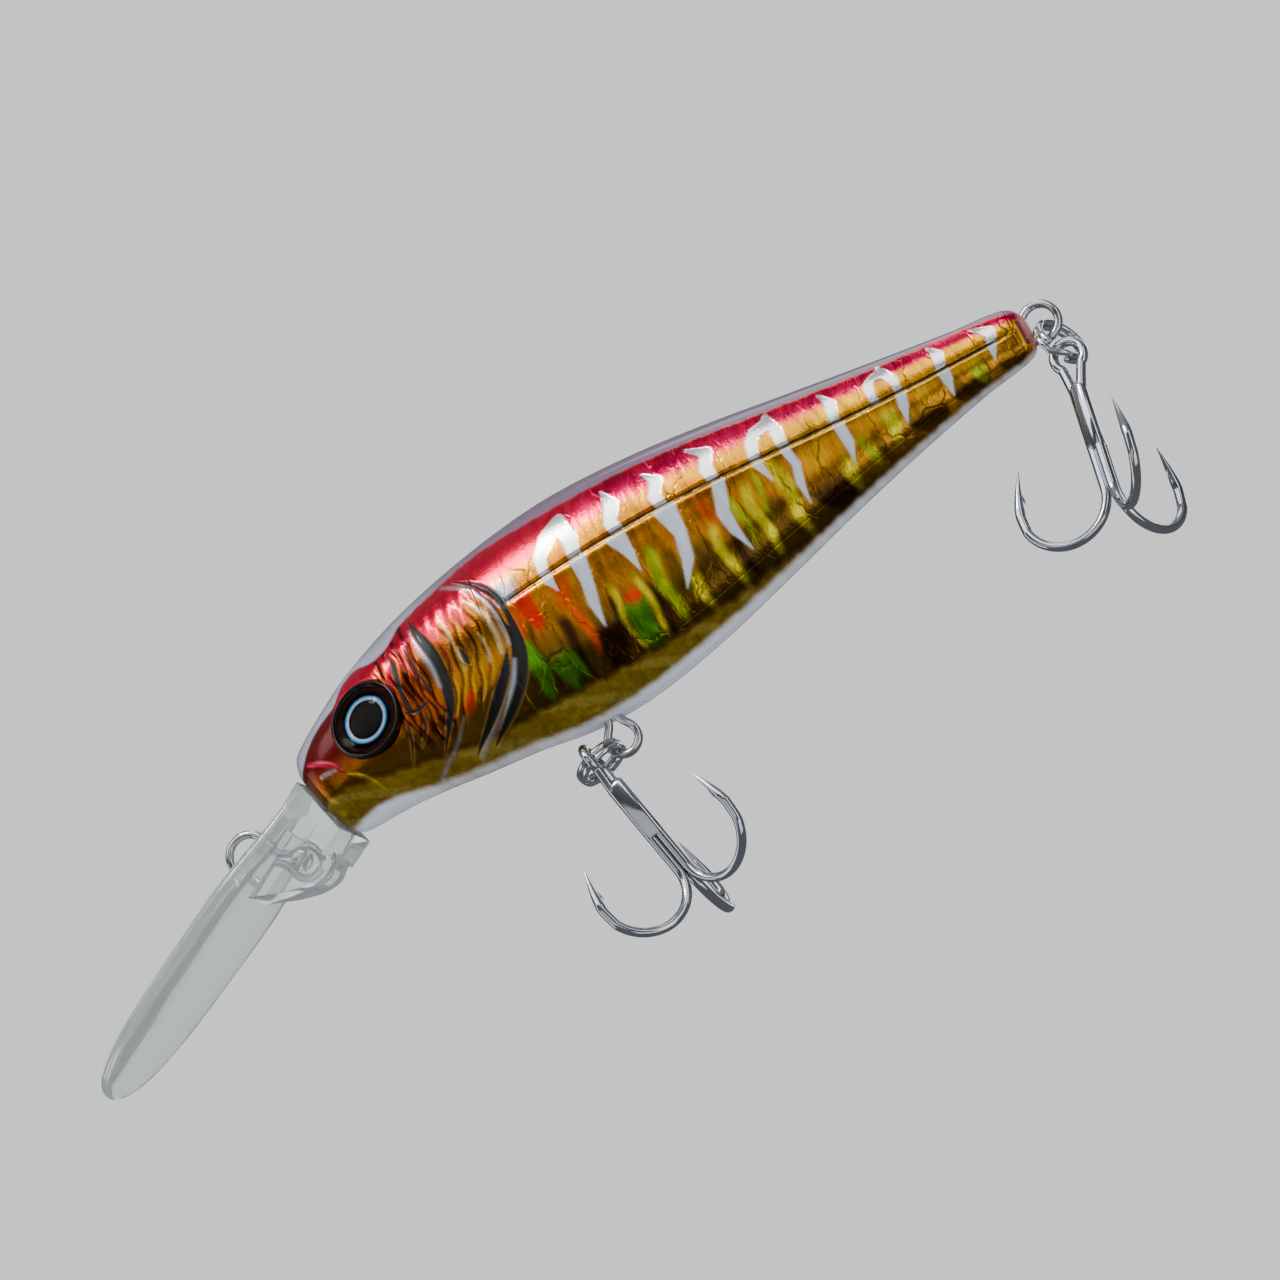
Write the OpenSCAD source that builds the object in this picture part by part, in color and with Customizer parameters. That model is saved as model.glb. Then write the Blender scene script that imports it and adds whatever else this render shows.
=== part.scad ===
// Deep-diving crankbait: a hollow two-part body with a foil flank, a clear diving lip,
// wire hangers, split rings, two treble hooks and a sliding weight-transfer system.
// Millimetres. The nose points to -X, the back to +Z and the fish's left flank to -Y.
// The origin is the centre of the line tie's eye.

/* [Body] */
// Length from the nose to the tail end
body_l = 80; // [72:1:90]
// Greatest height from belly to back
body_h = 21.4; // [20.5:0.1:23]
// Greatest width across the flanks
body_w = 12.6; // [12.4:0.1:14]
// Wall thickness of the two shells
wall_t = 1.1; // [1:0.05:1.2]
// Thickness of the foil on each flank
foil_t = 0.12; // [0.08:0.01:0.15]

/* [Diving lip] */
// Length of the blade from the head to its tip
lip_l = 34.5; // [28:0.5:42]
// Greatest width of the blade
lip_w = 12.6; // [12:0.2:18]
// Thickness of the blade
lip_t = 1.8; // [1.6:0.1:2.2]
// Angle of the blade below the body's axis
lip_angle = 25; // [22:0.5:28]

/* [Eyes] */
// Diameter of the eye socket
socket_d = 7.2; // [6.4:0.1:7.6]
// Height of the clear dome over the iris
dome_h = 1.1; // [0.8:0.1:1.4]

/* [Wire and rings] */
// Diameter of the hanger and line tie wire
wire_d = 0.8; // [0.7:0.05:0.9]
// Outer diameter of a split ring
ring_d = 5.3; // [5.2:0.1:5.6]
// Diameter of the split ring's wire
ring_wire_d = 0.58; // [0.5:0.02:0.6]

/* [Treble hooks] */
// Length from the top of the eye to the bottom of the bends
treble_l = 19.8; // [19:0.1:21]
// Diameter of the hook wire
hook_wire_d = 0.95; // [0.85:0.05:1]
// Radius of each round bend
bend_r = 4.1; // [3.8:0.1:4.2]

/* [Weight transfer] */
// Diameter of each sliding ball
ball_d = 4; // [3.6:0.1:4.1]
// Clear travel of the three balls along their tube
ball_travel = 12; // [10:0.5:12]

/* [Hidden] */

$fn = 48;
fit_gap = 0.03;

// ---- the body's form -------------------------------------------------------------
// Each row: place along the body, back height, belly depth and half width, all in
// hundredths of the body's length, half height, half height and half width.
form = [
    [0, 6, -66, 46], [1, 17, -69, 58], [3, 27, -70, 69], [6.5, 41, -70, 79],
    [10, 54, -71, 86], [15, 68, -75, 92], [20, 79, -81, 97], [26.5, 89, -88, 100],
    [34, 97, -99, 100], [42, 100, -100, 97], [52, 94, -89, 89], [62, 82, -72, 78],
    [72, 67, -54, 65], [82, 52, -38, 53], [92, 38, -25, 38], [98, 31, -20, 27],
    [100, 22, -13, 17]];
last = len(form) - 1;
bulge = 2.3;

function rise(k, c) = let(a = max(k - 1, 0), b = min(k + 1, last))
    (form[b][c] - form[a][c]) / (form[b][0] - form[a][0]);
function row_at(p, k = 0) = k == last - 1 || p < form[k + 1][0] ? k : row_at(p, k + 1);
function blend(p, c) = let(k = row_at(p), w = form[k + 1][0] - form[k][0],
        t = (p - form[k][0]) / w)
    (2 * t ^ 3 - 3 * t ^ 2 + 1) * form[k][c] + (t ^ 3 - 2 * t ^ 2 + t) * w * rise(k, c)
    + (3 * t ^ 2 - 2 * t ^ 3) * form[k + 1][c] + (t ^ 3 - t ^ 2) * w * rise(k + 1, c);
function place(x) = min(max(100 * x / body_l, 0), 100);
function back(x) = blend(place(x), 1) * body_h / 200;
function belly(x) = blend(place(x), 2) * body_h / 200;
function half_w(x) = blend(place(x), 3) * body_w / 200;

// The front of the head leans back towards the belly, where the lip's neck meets it.
face_lean = 0.27;
lean_end = 14;
function lean(x) = x < lean_end ? face_lean * (1 - x / lean_end) ^ 2 : 0;
function face_x(z) = face_lean * (back(0) - z);

function power(v, e) = sign(v) * pow(abs(v), e);
// A point of the skin at station x and angle a, set inwards by the distance s.
function skin(x, a, s = 0) =
    let(mid = (back(x) + belly(x)) / 2, half = (back(x) - belly(x)) / 2 - s,
        z = mid + half * power(sin(a), 2 / bulge))
    [x + lean(x) * (back(x) - z), -max(half_w(x) - s, 0.3) * power(cos(a), 2 / bulge), z];
// Half width of the outer skin at a height z.
function flank_y(x, z) =
    let(mid = (back(x) + belly(x)) / 2, half = (back(x) - belly(x)) / 2)
    half_w(x) * pow(max(1 - pow(abs(z - mid) / half, bulge), 0), 1 / bulge);

stations = 38;
arc_steps = 18;
front_wall = 3;
tail_wall = 2.6;
function station(i) = body_l * (1 - cos(180 * i / stations)) / 2;
function inner_station(i) = front_wall
    + (body_l - front_wall - tail_wall) * (1 - cos(180 * i / stations)) / 2;
function arc_angle(j) = 90 - 180 * j / arc_steps;

// Two triangles for each cell of a grid whose rows hold n points.
function cells(rows, n, first = 0, flip = false) = [
    for (i = [0:rows - 2], j = [0:n - 2])
        let(a = first + i * n + j, b = a + 1, c = a + n, d = c + 1)
        each flip ? [[a, b, c], [b, d, c]] : [[a, c, b], [b, c, d]]];

// One hollow half, on the -Y side, open towards the other half.
module half_shell() {
    n = arc_steps + 1;
    count = (stations + 1) * n;
    outer = [for (i = [0:stations], j = [0:arc_steps]) skin(station(i), arc_angle(j))];
    inner = [for (i = [0:stations], j = [0:arc_steps])
        skin(inner_station(i), arc_angle(j), wall_t)];
    far = stations * n;
    polyhedron(concat(outer, inner), concat(
        cells(stations + 1, n),
        cells(stations + 1, n, count, true),
        [for (j = [1:arc_steps - 1]) [0, j, j + 1]],
        [for (j = [1:arc_steps - 1]) [far, far + j + 1, far + j]],
        [for (j = [1:arc_steps - 1]) [count, count + j + 1, count + j]],
        [for (j = [1:arc_steps - 1]) [count + far, count + far + j, count + far + j + 1]],
        [for (i = [0:stations - 1]) each let(a = i * n, b = a + n)
            [[a, a + count, b], [b, a + count, b + count]]],
        [for (i = [0:stations - 1]) each let(a = i * n + arc_steps, b = a + n)
            [[a, b, a + count], [b, b + count, a + count]]],
        [[0, arc_steps, count], [arc_steps, count + arc_steps, count],
         [far, far + count, far + arc_steps],
         [far + arc_steps, far + count, far + count + arc_steps]]));
}

// ---- wire work -------------------------------------------------------------------
function unit(v) = v / norm(v);
function heading(path, k) = unit(path[min(k + 1, len(path) - 1)] - path[max(k - 1, 0)]);
function square_to(v, t) = unit(v - (v * t) * t);
function turn(v, a) = [v.x * cos(a) - v.y * sin(a), v.x * sin(a) + v.y * cos(a), v.z];

// A round wire along a path, with one radius for each point of the path.
module wire(path, radii, sides = 8) {
    last_point = len(path) - 1;
    across = [for (k = 0, v = square_to([0.12, 1, 0.31], heading(path, 0)); k <= last_point;
        k = k + 1, v = k <= last_point ? square_to(v, heading(path, k)) : v) v];
    polyhedron(
        [for (k = [0:last_point]) let(t = heading(path, k), u = across[k], w = cross(t, u))
            for (m = [0:sides - 1]) let(a = 360 * m / sides)
                path[k] + radii[k] * (cos(a) * u + sin(a) * w)],
        concat(
            [[for (m = [0:sides - 1]) m]],
            [[for (m = [sides - 1:-1:0]) last_point * sides + m]],
            [for (k = [0:last_point - 1], m = [0:sides - 1])
                let(a = k * sides + m, b = k * sides + (m + 1) % sides)
                each [[a, a + sides, b], [b, a + sides, b + sides]]]));
}

// A hanger: an eye at the origin, two close legs along +X and an anchor ring round a boss.
leg_gap = 0.05;
waist = wire_d / 2 + leg_gap;
shoulder = 55;
function loop_arc(r, from, to, steps = 20) =
    [for (k = [0:steps]) let(a = from + (to - from) * k / steps) [r * cos(a), 0, r * sin(a)]];
module hanger(eye_r, reach, anchor_r) {
    opening = 12;
    lead = eye_r * cos(shoulder) + (eye_r * sin(shoulder) - waist) * tan(shoulder);
    tail = anchor_r * cos(shoulder) + (anchor_r * sin(shoulder) - waist) * tan(shoulder);
    anchor = [reach, 0, 0];
    path = concat(
        [for (p = loop_arc(anchor_r, opening, 180 - shoulder, 10)) anchor + p],
        [[reach - tail, 0, waist], [lead, 0, waist]],
        loop_arc(eye_r, shoulder, 360 - shoulder),
        [[lead, 0, -waist], [reach - tail, 0, -waist]],
        [for (p = loop_arc(anchor_r, 180 + shoulder, 360 - opening, 10)) anchor + p]);
    wire(path, [for (p = path) wire_d / 2]);
}

// Room for the wire where it leaves a loop and closes in to the legs.
module shoulder_slot(r, slot_w, leg_h) {
    outer = r + wire_d / 2 + fit_gap;
    meet = (outer - leg_h / 2 * sin(shoulder)) / cos(shoulder);
    far = [outer * cos(shoulder), outer * sin(shoulder)];
    rotate([90, 0, 0])
        linear_extrude(slot_w, center = true)
            polygon([[0, 0], [far.x, -far.y], [meet, -leg_h / 2], [meet, leg_h / 2], far]);
}

// Room for a hanger in the plastic that holds it: a slot round the eye, the legs' slot
// and, when it is moulded in, the slot of the anchor ring.
module hanger_slot(eye_r, reach, anchor_r, moulded = false) {
    slot_w = wire_d + 2 * fit_gap;
    leg_h = 2 * (waist + wire_d / 2 + fit_gap);
    shoulder_slot(eye_r, slot_w, leg_h);
    rotate([90, 0, 0])
        cylinder(r = eye_r + wire_d / 2 + fit_gap, h = slot_w, center = true);
    translate([0, -slot_w / 2, -leg_h / 2])
        cube([reach, slot_w, leg_h]);
    if (moulded)
        translate([reach, 0, 0]) {
            mirror([1, 0, 0])
                difference() {
                    shoulder_slot(anchor_r, slot_w, leg_h);
                    rotate([90, 0, 0])
                        cylinder(r = anchor_r - wire_d / 2 - fit_gap, h = slot_w + 1, center = true);
                }
            rotate([90, 0, 0])
                difference() {
                    cylinder(r = anchor_r + wire_d / 2 + fit_gap, h = slot_w, center = true);
                    cylinder(r = anchor_r - wire_d / 2 - fit_gap, h = slot_w + 1, center = true);
                }
        }
}

// A split ring in the XY plane: two turns of one wire with a short step between them.
turn_pitch = ring_wire_d + 0.03;
ring_r = (ring_d - ring_wire_d) / 2;
function step(t) = t < 0 ? 0 : t > 1 ? 1 : t * t * (3 - 2 * t);
module split_ring() {
    steps = 60;
    sweep = 672;
    ramp = 40;
    path = [for (k = [0:steps]) let(a = -sweep / 2 + sweep * k / steps)
        [ring_r * cos(a + 180), ring_r * sin(a + 180),
         turn_pitch * (step((a + ramp / 2) / ramp) - 0.5)]];
    wire(path, [for (p = path) ring_wire_d / 2]);
}

// One arm of a treble in the XZ plane, hanging below the eye: shank, bend, barb, point.
treble_eye_r = 1.43;
hook_r = hook_wire_d / 2;
shank_off = 1.16 * hook_r;
bend_z = treble_eye_r + hook_r - treble_l + hook_r + bend_r;
point_rise = 4.8;
barb_at = 0.36;
function arm_path(top_z) = concat(
    [[shank_off, 0, top_z], [shank_off, 0, top_z * 0.4 + bend_z * 0.6]],
    [for (a = [180:15:345])
        [shank_off + bend_r + bend_r * cos(a), 0, bend_z + bend_r * sin(a)]],
    [for (t = [0.18, barb_at, barb_at + 0.03, 0.7, 0.9, 1])
        [shank_off + 2 * bend_r - 1.1 * t ^ 1.5, 0, bend_z + point_rise * t]]);
arm_points = len(arm_path(0));
function arm_radii(start) = [for (k = [0:arm_points - 1])
    k == 0 ? start : k < arm_points - 5 ? hook_r
    : hook_r * [0.98, 1.24, 0.72, 0.42, 0.08][k - arm_points + 5]];
function turned(path, a) = [for (p = path) turn(p, a)];
function reversed(list) = [for (k = [len(list) - 1:-1:0]) list[k]];

// Two arms and the eye are one wire; the eye lies in the XZ plane.
arm_spread = 120;
neck_z = -3.6;
module double_hook() {
    first = turned(arm_path(neck_z), 180);
    second = turned(arm_path(neck_z), 180 + arm_spread);
    eye = [for (k = [0:16]) let(a = 230 - 280 * k / 16)
        [treble_eye_r * cos(a), -0.2 * hook_wire_d * k / 16, treble_eye_r * sin(a)]];
    path = concat(reversed(first), eye, second);
    radii = concat(reversed(arm_radii(hook_r)), [for (p = eye) hook_r], arm_radii(hook_r));
    wire(path, radii);
}
module third_hook() {
    path = turned(arm_path(neck_z - 1), 180 - arm_spread);
    wire(path, arm_radii(hook_r * 0.55));
}

// ---- places of the parts in the body's own axes: nose at x = 0, axis at z = 0 -----
tie = [-7.8, 0, -3.6];
tie_eye_r = 1.95;
tie_reach = 6.3;
tie_turn = 38;
anchor_r = 1.5;
belly_eye = [29, 0, -12.85];
belly_eye_r = 1.5;
belly_reach = 5.6;
tail_eye = [body_l + 1, 0, 0.5];
tail_eye_r = 1.75;
tail_reach = 6.2;
boss_d = 2 * (anchor_r - wire_d / 2) - 0.1;

tube_z = 0.4;
tube_x = 30.6;
tube_wall = 0.7;
tube_gap = 0.12;
magnet_l = 2;
tube_end = 0.6;
chamber_x = tube_x + magnet_l + tube_end;
chamber_l = 3 * ball_d + ball_travel + 0.2;
weight_d = 5;
weight_l = 6;
weight_at = [19.5, 0, -4];

// A straight boss on the -Y side, from the parting plane into the wall.
module boss(x, z, d, from = 0) {
    reach = flank_y(x, z + sign(z) * d / 2) - wall_t / 2;
    translate([x, -from, z])
        rotate([90, 0, 0])
            cylinder(d = d, h = reach - from);
}

// The half tube that guides the balls, with a wall at each end and one past the magnet.
module half_tube() {
    length = tube_end + magnet_l + tube_end + chamber_l + tube_end;
    outer_r = ball_d / 2 + tube_gap + tube_wall;
    start = tube_x - tube_end;
    translate([start, 0, tube_z])
        difference() {
            rotate([0, 90, 0])
                cylinder(r = outer_r, h = length);
            translate([tube_end, 0, 0])
                rotate([0, 90, 0])
                    cylinder(d = ball_d + 2 * fit_gap, h = magnet_l);
            translate([chamber_x - start, 0, 0])
                rotate([0, 90, 0])
                    cylinder(r = ball_d / 2 + tube_gap, h = chamber_l);
            translate([-1, 0, -outer_r - 1])
                cube([length + 2, outer_r + 1, 2 * outer_r + 2]);
        }
}
module tube_ribs() {
    rib_t = 1;
    rib_h = 3;
    inside = ball_d / 2 + tube_gap + tube_wall / 2;
    for (x = [34, 42, 50])
        translate([x, -flank_y(x, tube_z) + wall_t / 2, tube_z - rib_h / 2])
            cube([rib_t, flank_y(x, tube_z) - wall_t / 2 - inside, rib_h]);
}

// A cup that holds one end of the ballast cylinder.
module weight_cup() {
    wall_y = flank_y(weight_at.x, weight_at.z - weight_d / 2 - 0.6);
    translate([weight_at.x, -1.6, weight_at.z])
        rotate([90, 0, 0])
            difference() {
                cylinder(d = weight_d + 1.2, h = wall_y - 1.9);
                translate([0, 0, -1])
                    cylinder(d = weight_d + 2 * fit_gap, h = weight_l / 2 - 1.6 + 1 + fit_gap);
            }
}

// The eye's seat: origin on the skin, +Z pointing straight out of the head.
eye_at = [9.4, 0, -0.1];
eye_sink = 0.75;
module at_eye() {
    translate([eye_at.x, -flank_y(eye_at.x - 0.6, eye_at.z), eye_at.z])
        rotate([0, 0, -9])
            rotate([90 - 12, 0, 0])
                children();
}

peg_spots = [[21.5, 5.6], [50, 5.3]];
peg_d = 1.5;
peg_l = 1.4;
module plain_half() {
    difference() {
        union() {
            half_shell();
            boss(belly_eye.x, belly_eye.z + belly_reach, boss_d);
            boss(tail_eye.x - tail_reach, tail_eye.z, boss_d);
            half_tube();
            tube_ribs();
            weight_cup();
            for (p = peg_spots)
                boss(p.x, p.y, peg_d + 1.4, fit_gap);
            at_eye()
                translate([0, 0, -1.9])
                    cylinder(d = socket_d + 0.6, h = 1.2);
        }
        at_eye()
            translate([0, 0, -eye_sink])
                cylinder(d = socket_d, h = 4);
        translate(belly_eye)
            rotate([0, -90, 0])
                hanger_slot(belly_eye_r, belly_reach, anchor_r);
        translate(tail_eye)
            rotate([0, 180, 0])
                hanger_slot(tail_eye_r, tail_reach, anchor_r, true);
        tongue(fit_gap);
    }
}

// The lip's tongue, which is glued into a pocket in the front of the head.
tongue_size = [4.6, 3.6, 2.6];
module tongue(gap) {
    translate([face_x(-4.4) - 1, -tongue_size.y / 2 - gap, -4.4 - tongue_size.z / 2 - gap])
        cube([tongue_size.x + 1 + gap, tongue_size.y + 2 * gap, tongue_size.z + 2 * gap]);
}

module left_body_shell() {
    color("goldenrod")
        union() {
            plain_half();
            for (p = peg_spots)
                translate([p.x, peg_l, p.y])
                    rotate([90, 0, 0])
                        cylinder(d = peg_d, h = peg_l + 1);
        }
}
module right_body_shell() {
    color("goldenrod")
        difference() {
            mirror([0, 1, 0])
                plain_half();
            for (p = peg_spots)
                translate([p.x, peg_l + fit_gap, p.y])
                    rotate([90, 0, 0])
                        cylinder(d = peg_d + 2 * fit_gap, h = peg_l + 1);
        }
}

// The foil lies on the flank's own facets, from behind the gill to the tail.
foil_from = 14;
foil_to = 35;
foil_top = 3;
foil_low = 14;
module flank_foil() {
    rows = foil_to - foil_from + 1;
    n = foil_low - foil_top + 1;
    grid = [for (i = [foil_from:foil_to], j = [foil_top:foil_low])
        skin(station(i), arc_angle(j))];
    cover = [for (i = [foil_from:foil_to], j = [foil_top:foil_low])
        skin(station(i), arc_angle(j), -foil_t)];
    count = rows * n;
    end = count - n;
    polyhedron(concat(cover, grid), concat(
        cells(rows, n),
        cells(rows, n, count, true),
        [for (i = [0:rows - 2]) each let(a = i * n, b = a + n)
            [[a, a + count, b], [b, a + count, b + count]]],
        [for (i = [0:rows - 2]) each let(a = i * n + n - 1, b = a + n)
            [[a, b, a + count], [b, b + count, a + count]]],
        [for (j = [0:n - 2]) each [[j, j + 1, j + count], [j + 1, j + 1 + count, j + count]]],
        [for (j = [0:n - 2]) each let(a = end + j)
            [[a, a + count, a + 1], [a + 1, a + count, a + 1 + count]]]));
}
module left_foil() {
    color("gold")
        flank_foil();
}
module right_foil() {
    color("gold")
        mirror([0, 1, 0])
            flank_foil();
}

// The lip: a flat blade, a neck block against the head, a keel below and the tongue.
blade_top = [-14, 0, -9.3];
neck_w = 7.8;
keel_w = 4.6;
function blade_z(x) = blade_top.z + (x - blade_top.x) * tan(lip_angle);
// Half width of the blade at the fraction t of its length.
function blade_half(t) = lip_w / 2 * (0.62 + 0.38 * step(t / 0.42) - 0.1 * step((t - 0.5) / 0.4))
    * pow(1 - max(0, (t - 0.7) / 0.3) ^ 2.4, 0.5);
module blade() {
    edge = [for (k = [0:27]) let(t = sin(90 * k / 28)) [-lip_l * t, blade_half(t)]];
    tip = [-lip_l, 0];
    root = [1, 0, blade_z(1)];
    translate(root)
        rotate([0, -lip_angle, 0])
            translate([0, 0, -lip_t / 2])
                linear_extrude(lip_t)
                    polygon(concat(edge, [tip], [for (p = reversed(edge)) [p.x, -p.y]]));
}
module side_block(outline, width) {
    translate([0, width / 2, 0])
        rotate([90, 0, 0])
            linear_extrude(width)
                polygon(outline);
}
module diving_lip() {
    top_z = -1.25;
    low_z = -7.3;
    color("lightcyan")
        difference() {
            union() {
                difference() {
                    blade();
                    side_block([[face_x(8), 8], [20, 8], [20, -14], [face_x(-14), -14]], 20);
                }
                side_block([[face_x(top_z), top_z], [face_x(low_z), low_z], [-0.5, -8.6],
                    [-3, blade_z(-3) + 0.6], [-1.6, blade_z(-1.6) + 1]], neck_w);
                side_block([[face_x(low_z) - 0.3, low_z + 0.2], [0.4, -8.9], [-1.4, -9.8],
                    [-3.6, -9.9], [-6, -9.2], [-8.6, -8], [-10.4, blade_z(-10.4)],
                    [0, blade_z(0)]], keel_w);
                tongue(0);
            }
            translate(tie)
                rotate([0, tie_turn, 0])
                    hanger_slot(tie_eye_r, tie_reach, anchor_r, true);
        }
}

// Eye parts: a printed disc and a clear dome in the socket.
disc_t = 0.4;
module eye_disc() {
    translate([0, 0, -eye_sink])
        cylinder(d = socket_d - 2 * fit_gap, h = disc_t);
}
module eye_dome() {
    base_r = socket_d / 2 - 0.25;
    ball_r = (base_r ^ 2 + dome_h ^ 2) / (2 * dome_h);
    rim = 0.35;
    translate([0, 0, disc_t - eye_sink]) {
        cylinder(r = base_r, h = rim);
        translate([0, 0, rim])
            intersection() {
                translate([0, 0, dome_h - ball_r])
                    sphere(r = ball_r, $fn = 96);
                cylinder(r = base_r, h = dome_h + 1);
            }
    }
}
module left_eye_disc() {
    color("dimgray")
        at_eye()
            eye_disc();
}
module right_eye_disc() {
    color("dimgray")
        mirror([0, 1, 0])
            at_eye()
                eye_disc();
}
module left_eye_dome() {
    color("lightcyan")
        at_eye()
            eye_dome();
}
module right_eye_dome() {
    color("lightcyan")
        mirror([0, 1, 0])
            at_eye()
                eye_dome();
}

module line_tie_wire() {
    color("silver")
        translate(tie)
            rotate([0, tie_turn, 0])
                hanger(tie_eye_r, tie_reach, anchor_r);
}
module belly_hook_hanger() {
    color("silver")
        translate(belly_eye)
            rotate([0, -90, 0])
                hanger(belly_eye_r, belly_reach, anchor_r);
}
module tail_hook_hanger() {
    color("silver")
        translate(tail_eye)
            rotate([0, 180, 0])
                hanger(tail_eye_r, tail_reach, anchor_r);
}

module belly_weight() {
    color("dimgray")
        translate(weight_at)
            rotate([90, 0, 0])
                cylinder(d = weight_d, h = weight_l, center = true);
}
module magnet() {
    color("slategray")
        translate([tube_x, 0, tube_z])
            rotate([0, 90, 0])
                cylinder(d = ball_d, h = magnet_l);
}
module transfer_ball(k) {
    color("silver")
        translate([chamber_x + 0.1 + ball_d * (k + 0.5), 0, tube_z])
            sphere(d = ball_d);
}
module front_transfer_ball() {
    transfer_ball(0);
}
module middle_transfer_ball() {
    transfer_ball(1);
}
module rear_transfer_ball() {
    transfer_ball(2);
}

// Split rings: the near turn sits in the hanger's eye and the ring hangs away from it.
ring_sink = 0.62;
ring_out = ring_sink + ring_r;
belly_ring_drop = 17;
belly_ring_at = belly_eye + ring_out * [-cos(belly_ring_drop), 0, -sin(belly_ring_drop)];
tail_ring_twist = 24;
tail_ring_sway = 17;
tail_ring_out = 2.7;
module belly_split_ring() {
    color("silver")
        translate(belly_eye)
            rotate([0, -belly_ring_drop, 0])
                translate([-ring_out, 0, 0])
                    split_ring();
}
module at_tail_ring() {
    translate(tail_eye)
        rotate([0, -tail_ring_sway, 0])
            rotate([0, 0, -tail_ring_twist])
                translate([0, 0, -tail_ring_out])
                    children();
}
module tail_split_ring() {
    color("silver")
        at_tail_ring()
            rotate([0, 90, 0])
                rotate([0, 0, 120])
                    split_ring();
}

// Trebles: the belly one hangs from the left side of its ring, the tail one from a
// little to the left of the bottom of its ring.
eye_sag = 0.3;
tail_eye_sag = -0.05;
tail_link = 30;
tail_lean = [-8, 9, 0];
module at_belly_treble() {
    translate(belly_ring_at - [0, ring_r, 0])
        rotate([0, -12, 0])
            translate([0, 0, -eye_sag])
                rotate([0, 0, -90])
                    children();
}
module at_tail_treble() {
    at_tail_ring()
        translate([0, -ring_r * sin(tail_link), -ring_r * cos(tail_link)])
            rotate([0, 0, tail_ring_twist])
                rotate([0, tail_ring_sway, 0])
                    rotate(tail_lean)
                        translate([0, 0, -tail_eye_sag])
                            children();
}
module belly_double_hook() {
    color("silver")
        at_belly_treble()
            double_hook();
}
module belly_third_hook() {
    color("silver")
        at_belly_treble()
            third_hook();
}
module tail_double_hook() {
    color("silver")
        at_tail_treble()
            double_hook();
}
module tail_third_hook() {
    color("silver")
        at_tail_treble()
            third_hook();
}

module placed() {
    translate(-tie)
        children();
}

placed() left_body_shell();
placed() right_body_shell();
placed() left_foil();
placed() right_foil();
placed() diving_lip();
placed() left_eye_disc();
placed() right_eye_disc();
placed() left_eye_dome();
placed() right_eye_dome();
placed() line_tie_wire();
placed() belly_hook_hanger();
placed() tail_hook_hanger();
placed() belly_weight();
placed() magnet();
placed() front_transfer_ball();
placed() middle_transfer_ball();
placed() rear_transfer_ball();
placed() belly_split_ring();
placed() tail_split_ring();
placed() belly_double_hook();
placed() belly_third_hook();
placed() tail_double_hook();
placed() tail_third_hook();
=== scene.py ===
import math

import bmesh
import bpy
import numpy as np
from mathutils import Matrix, Vector


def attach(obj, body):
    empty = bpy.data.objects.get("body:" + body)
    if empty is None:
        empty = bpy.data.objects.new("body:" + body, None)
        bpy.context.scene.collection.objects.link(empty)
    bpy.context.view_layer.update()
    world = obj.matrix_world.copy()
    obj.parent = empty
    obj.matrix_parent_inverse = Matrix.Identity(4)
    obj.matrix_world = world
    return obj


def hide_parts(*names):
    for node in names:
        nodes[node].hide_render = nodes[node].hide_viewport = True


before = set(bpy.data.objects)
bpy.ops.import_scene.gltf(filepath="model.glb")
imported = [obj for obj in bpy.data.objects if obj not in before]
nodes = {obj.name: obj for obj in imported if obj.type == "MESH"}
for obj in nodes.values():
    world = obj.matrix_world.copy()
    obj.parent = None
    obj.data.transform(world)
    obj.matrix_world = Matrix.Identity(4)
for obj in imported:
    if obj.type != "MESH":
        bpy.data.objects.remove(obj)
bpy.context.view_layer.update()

# Shapes are worked out in millimetres in the lure's own axes: nose at x = 0, axis at
# z = 0, left flank at -Y. The row frame starts at the line tie's eye instead.
MM = 0.001
TIE = np.array([-7.8, 0.0, -3.6])


def linked(name, data):
    """A new object that holds data, in the scene."""
    thing = bpy.data.objects.new(name, data)
    bpy.context.scene.collection.objects.link(thing)
    return thing


# ---- camera: from below and a little from behind, rolled as the photograph is --------
CAM_AZIMUTH = math.radians(12)
CAM_ELEVATION = math.radians(-19)
CAM_ROLL = math.radians(27.4)
CAM_DISTANCE = 0.6
FRAME_WIDTH = 0.119
AIM_RIGHT, AIM_UP = 0.0314, 0.0130

view_dir = Vector((
    -math.sin(CAM_AZIMUTH) * math.cos(CAM_ELEVATION),
    math.cos(CAM_AZIMUTH) * math.cos(CAM_ELEVATION),
    -math.sin(CAM_ELEVATION)))
level = Vector((math.cos(CAM_AZIMUTH), math.sin(CAM_AZIMUTH), 0))
upright = level.cross(view_dir)
cam_right = level * math.cos(CAM_ROLL) - upright * math.sin(CAM_ROLL)
cam_up = level * math.sin(CAM_ROLL) + upright * math.cos(CAM_ROLL)
nose = Vector(-TIE * MM)
aim = nose + cam_right * AIM_RIGHT + cam_up * AIM_UP

cam_data = bpy.data.cameras.new("camera")
camera = linked("camera", cam_data)
bpy.context.scene.camera = camera
cam_data.lens = cam_data.sensor_width * CAM_DISTANCE / FRAME_WIDTH
cam_data.clip_start = 0.02
cam_data.clip_end = 30
camera.matrix_world = Matrix.Translation(aim - view_dir * CAM_DISTANCE) @ Matrix((
    (cam_right.x, cam_up.x, -view_dir.x, 0),
    (cam_right.y, cam_up.y, -view_dir.y, 0),
    (cam_right.z, cam_up.z, -view_dir.z, 0),
    (0, 0, 0, 1)))


# ---- the body's form, as in the CAD ---------------------------------------------------
BODY_L, BODY_H, BODY_W = 80.0, 21.4, 12.6
WALL = 1.1
BULGE = 2.3
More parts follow.
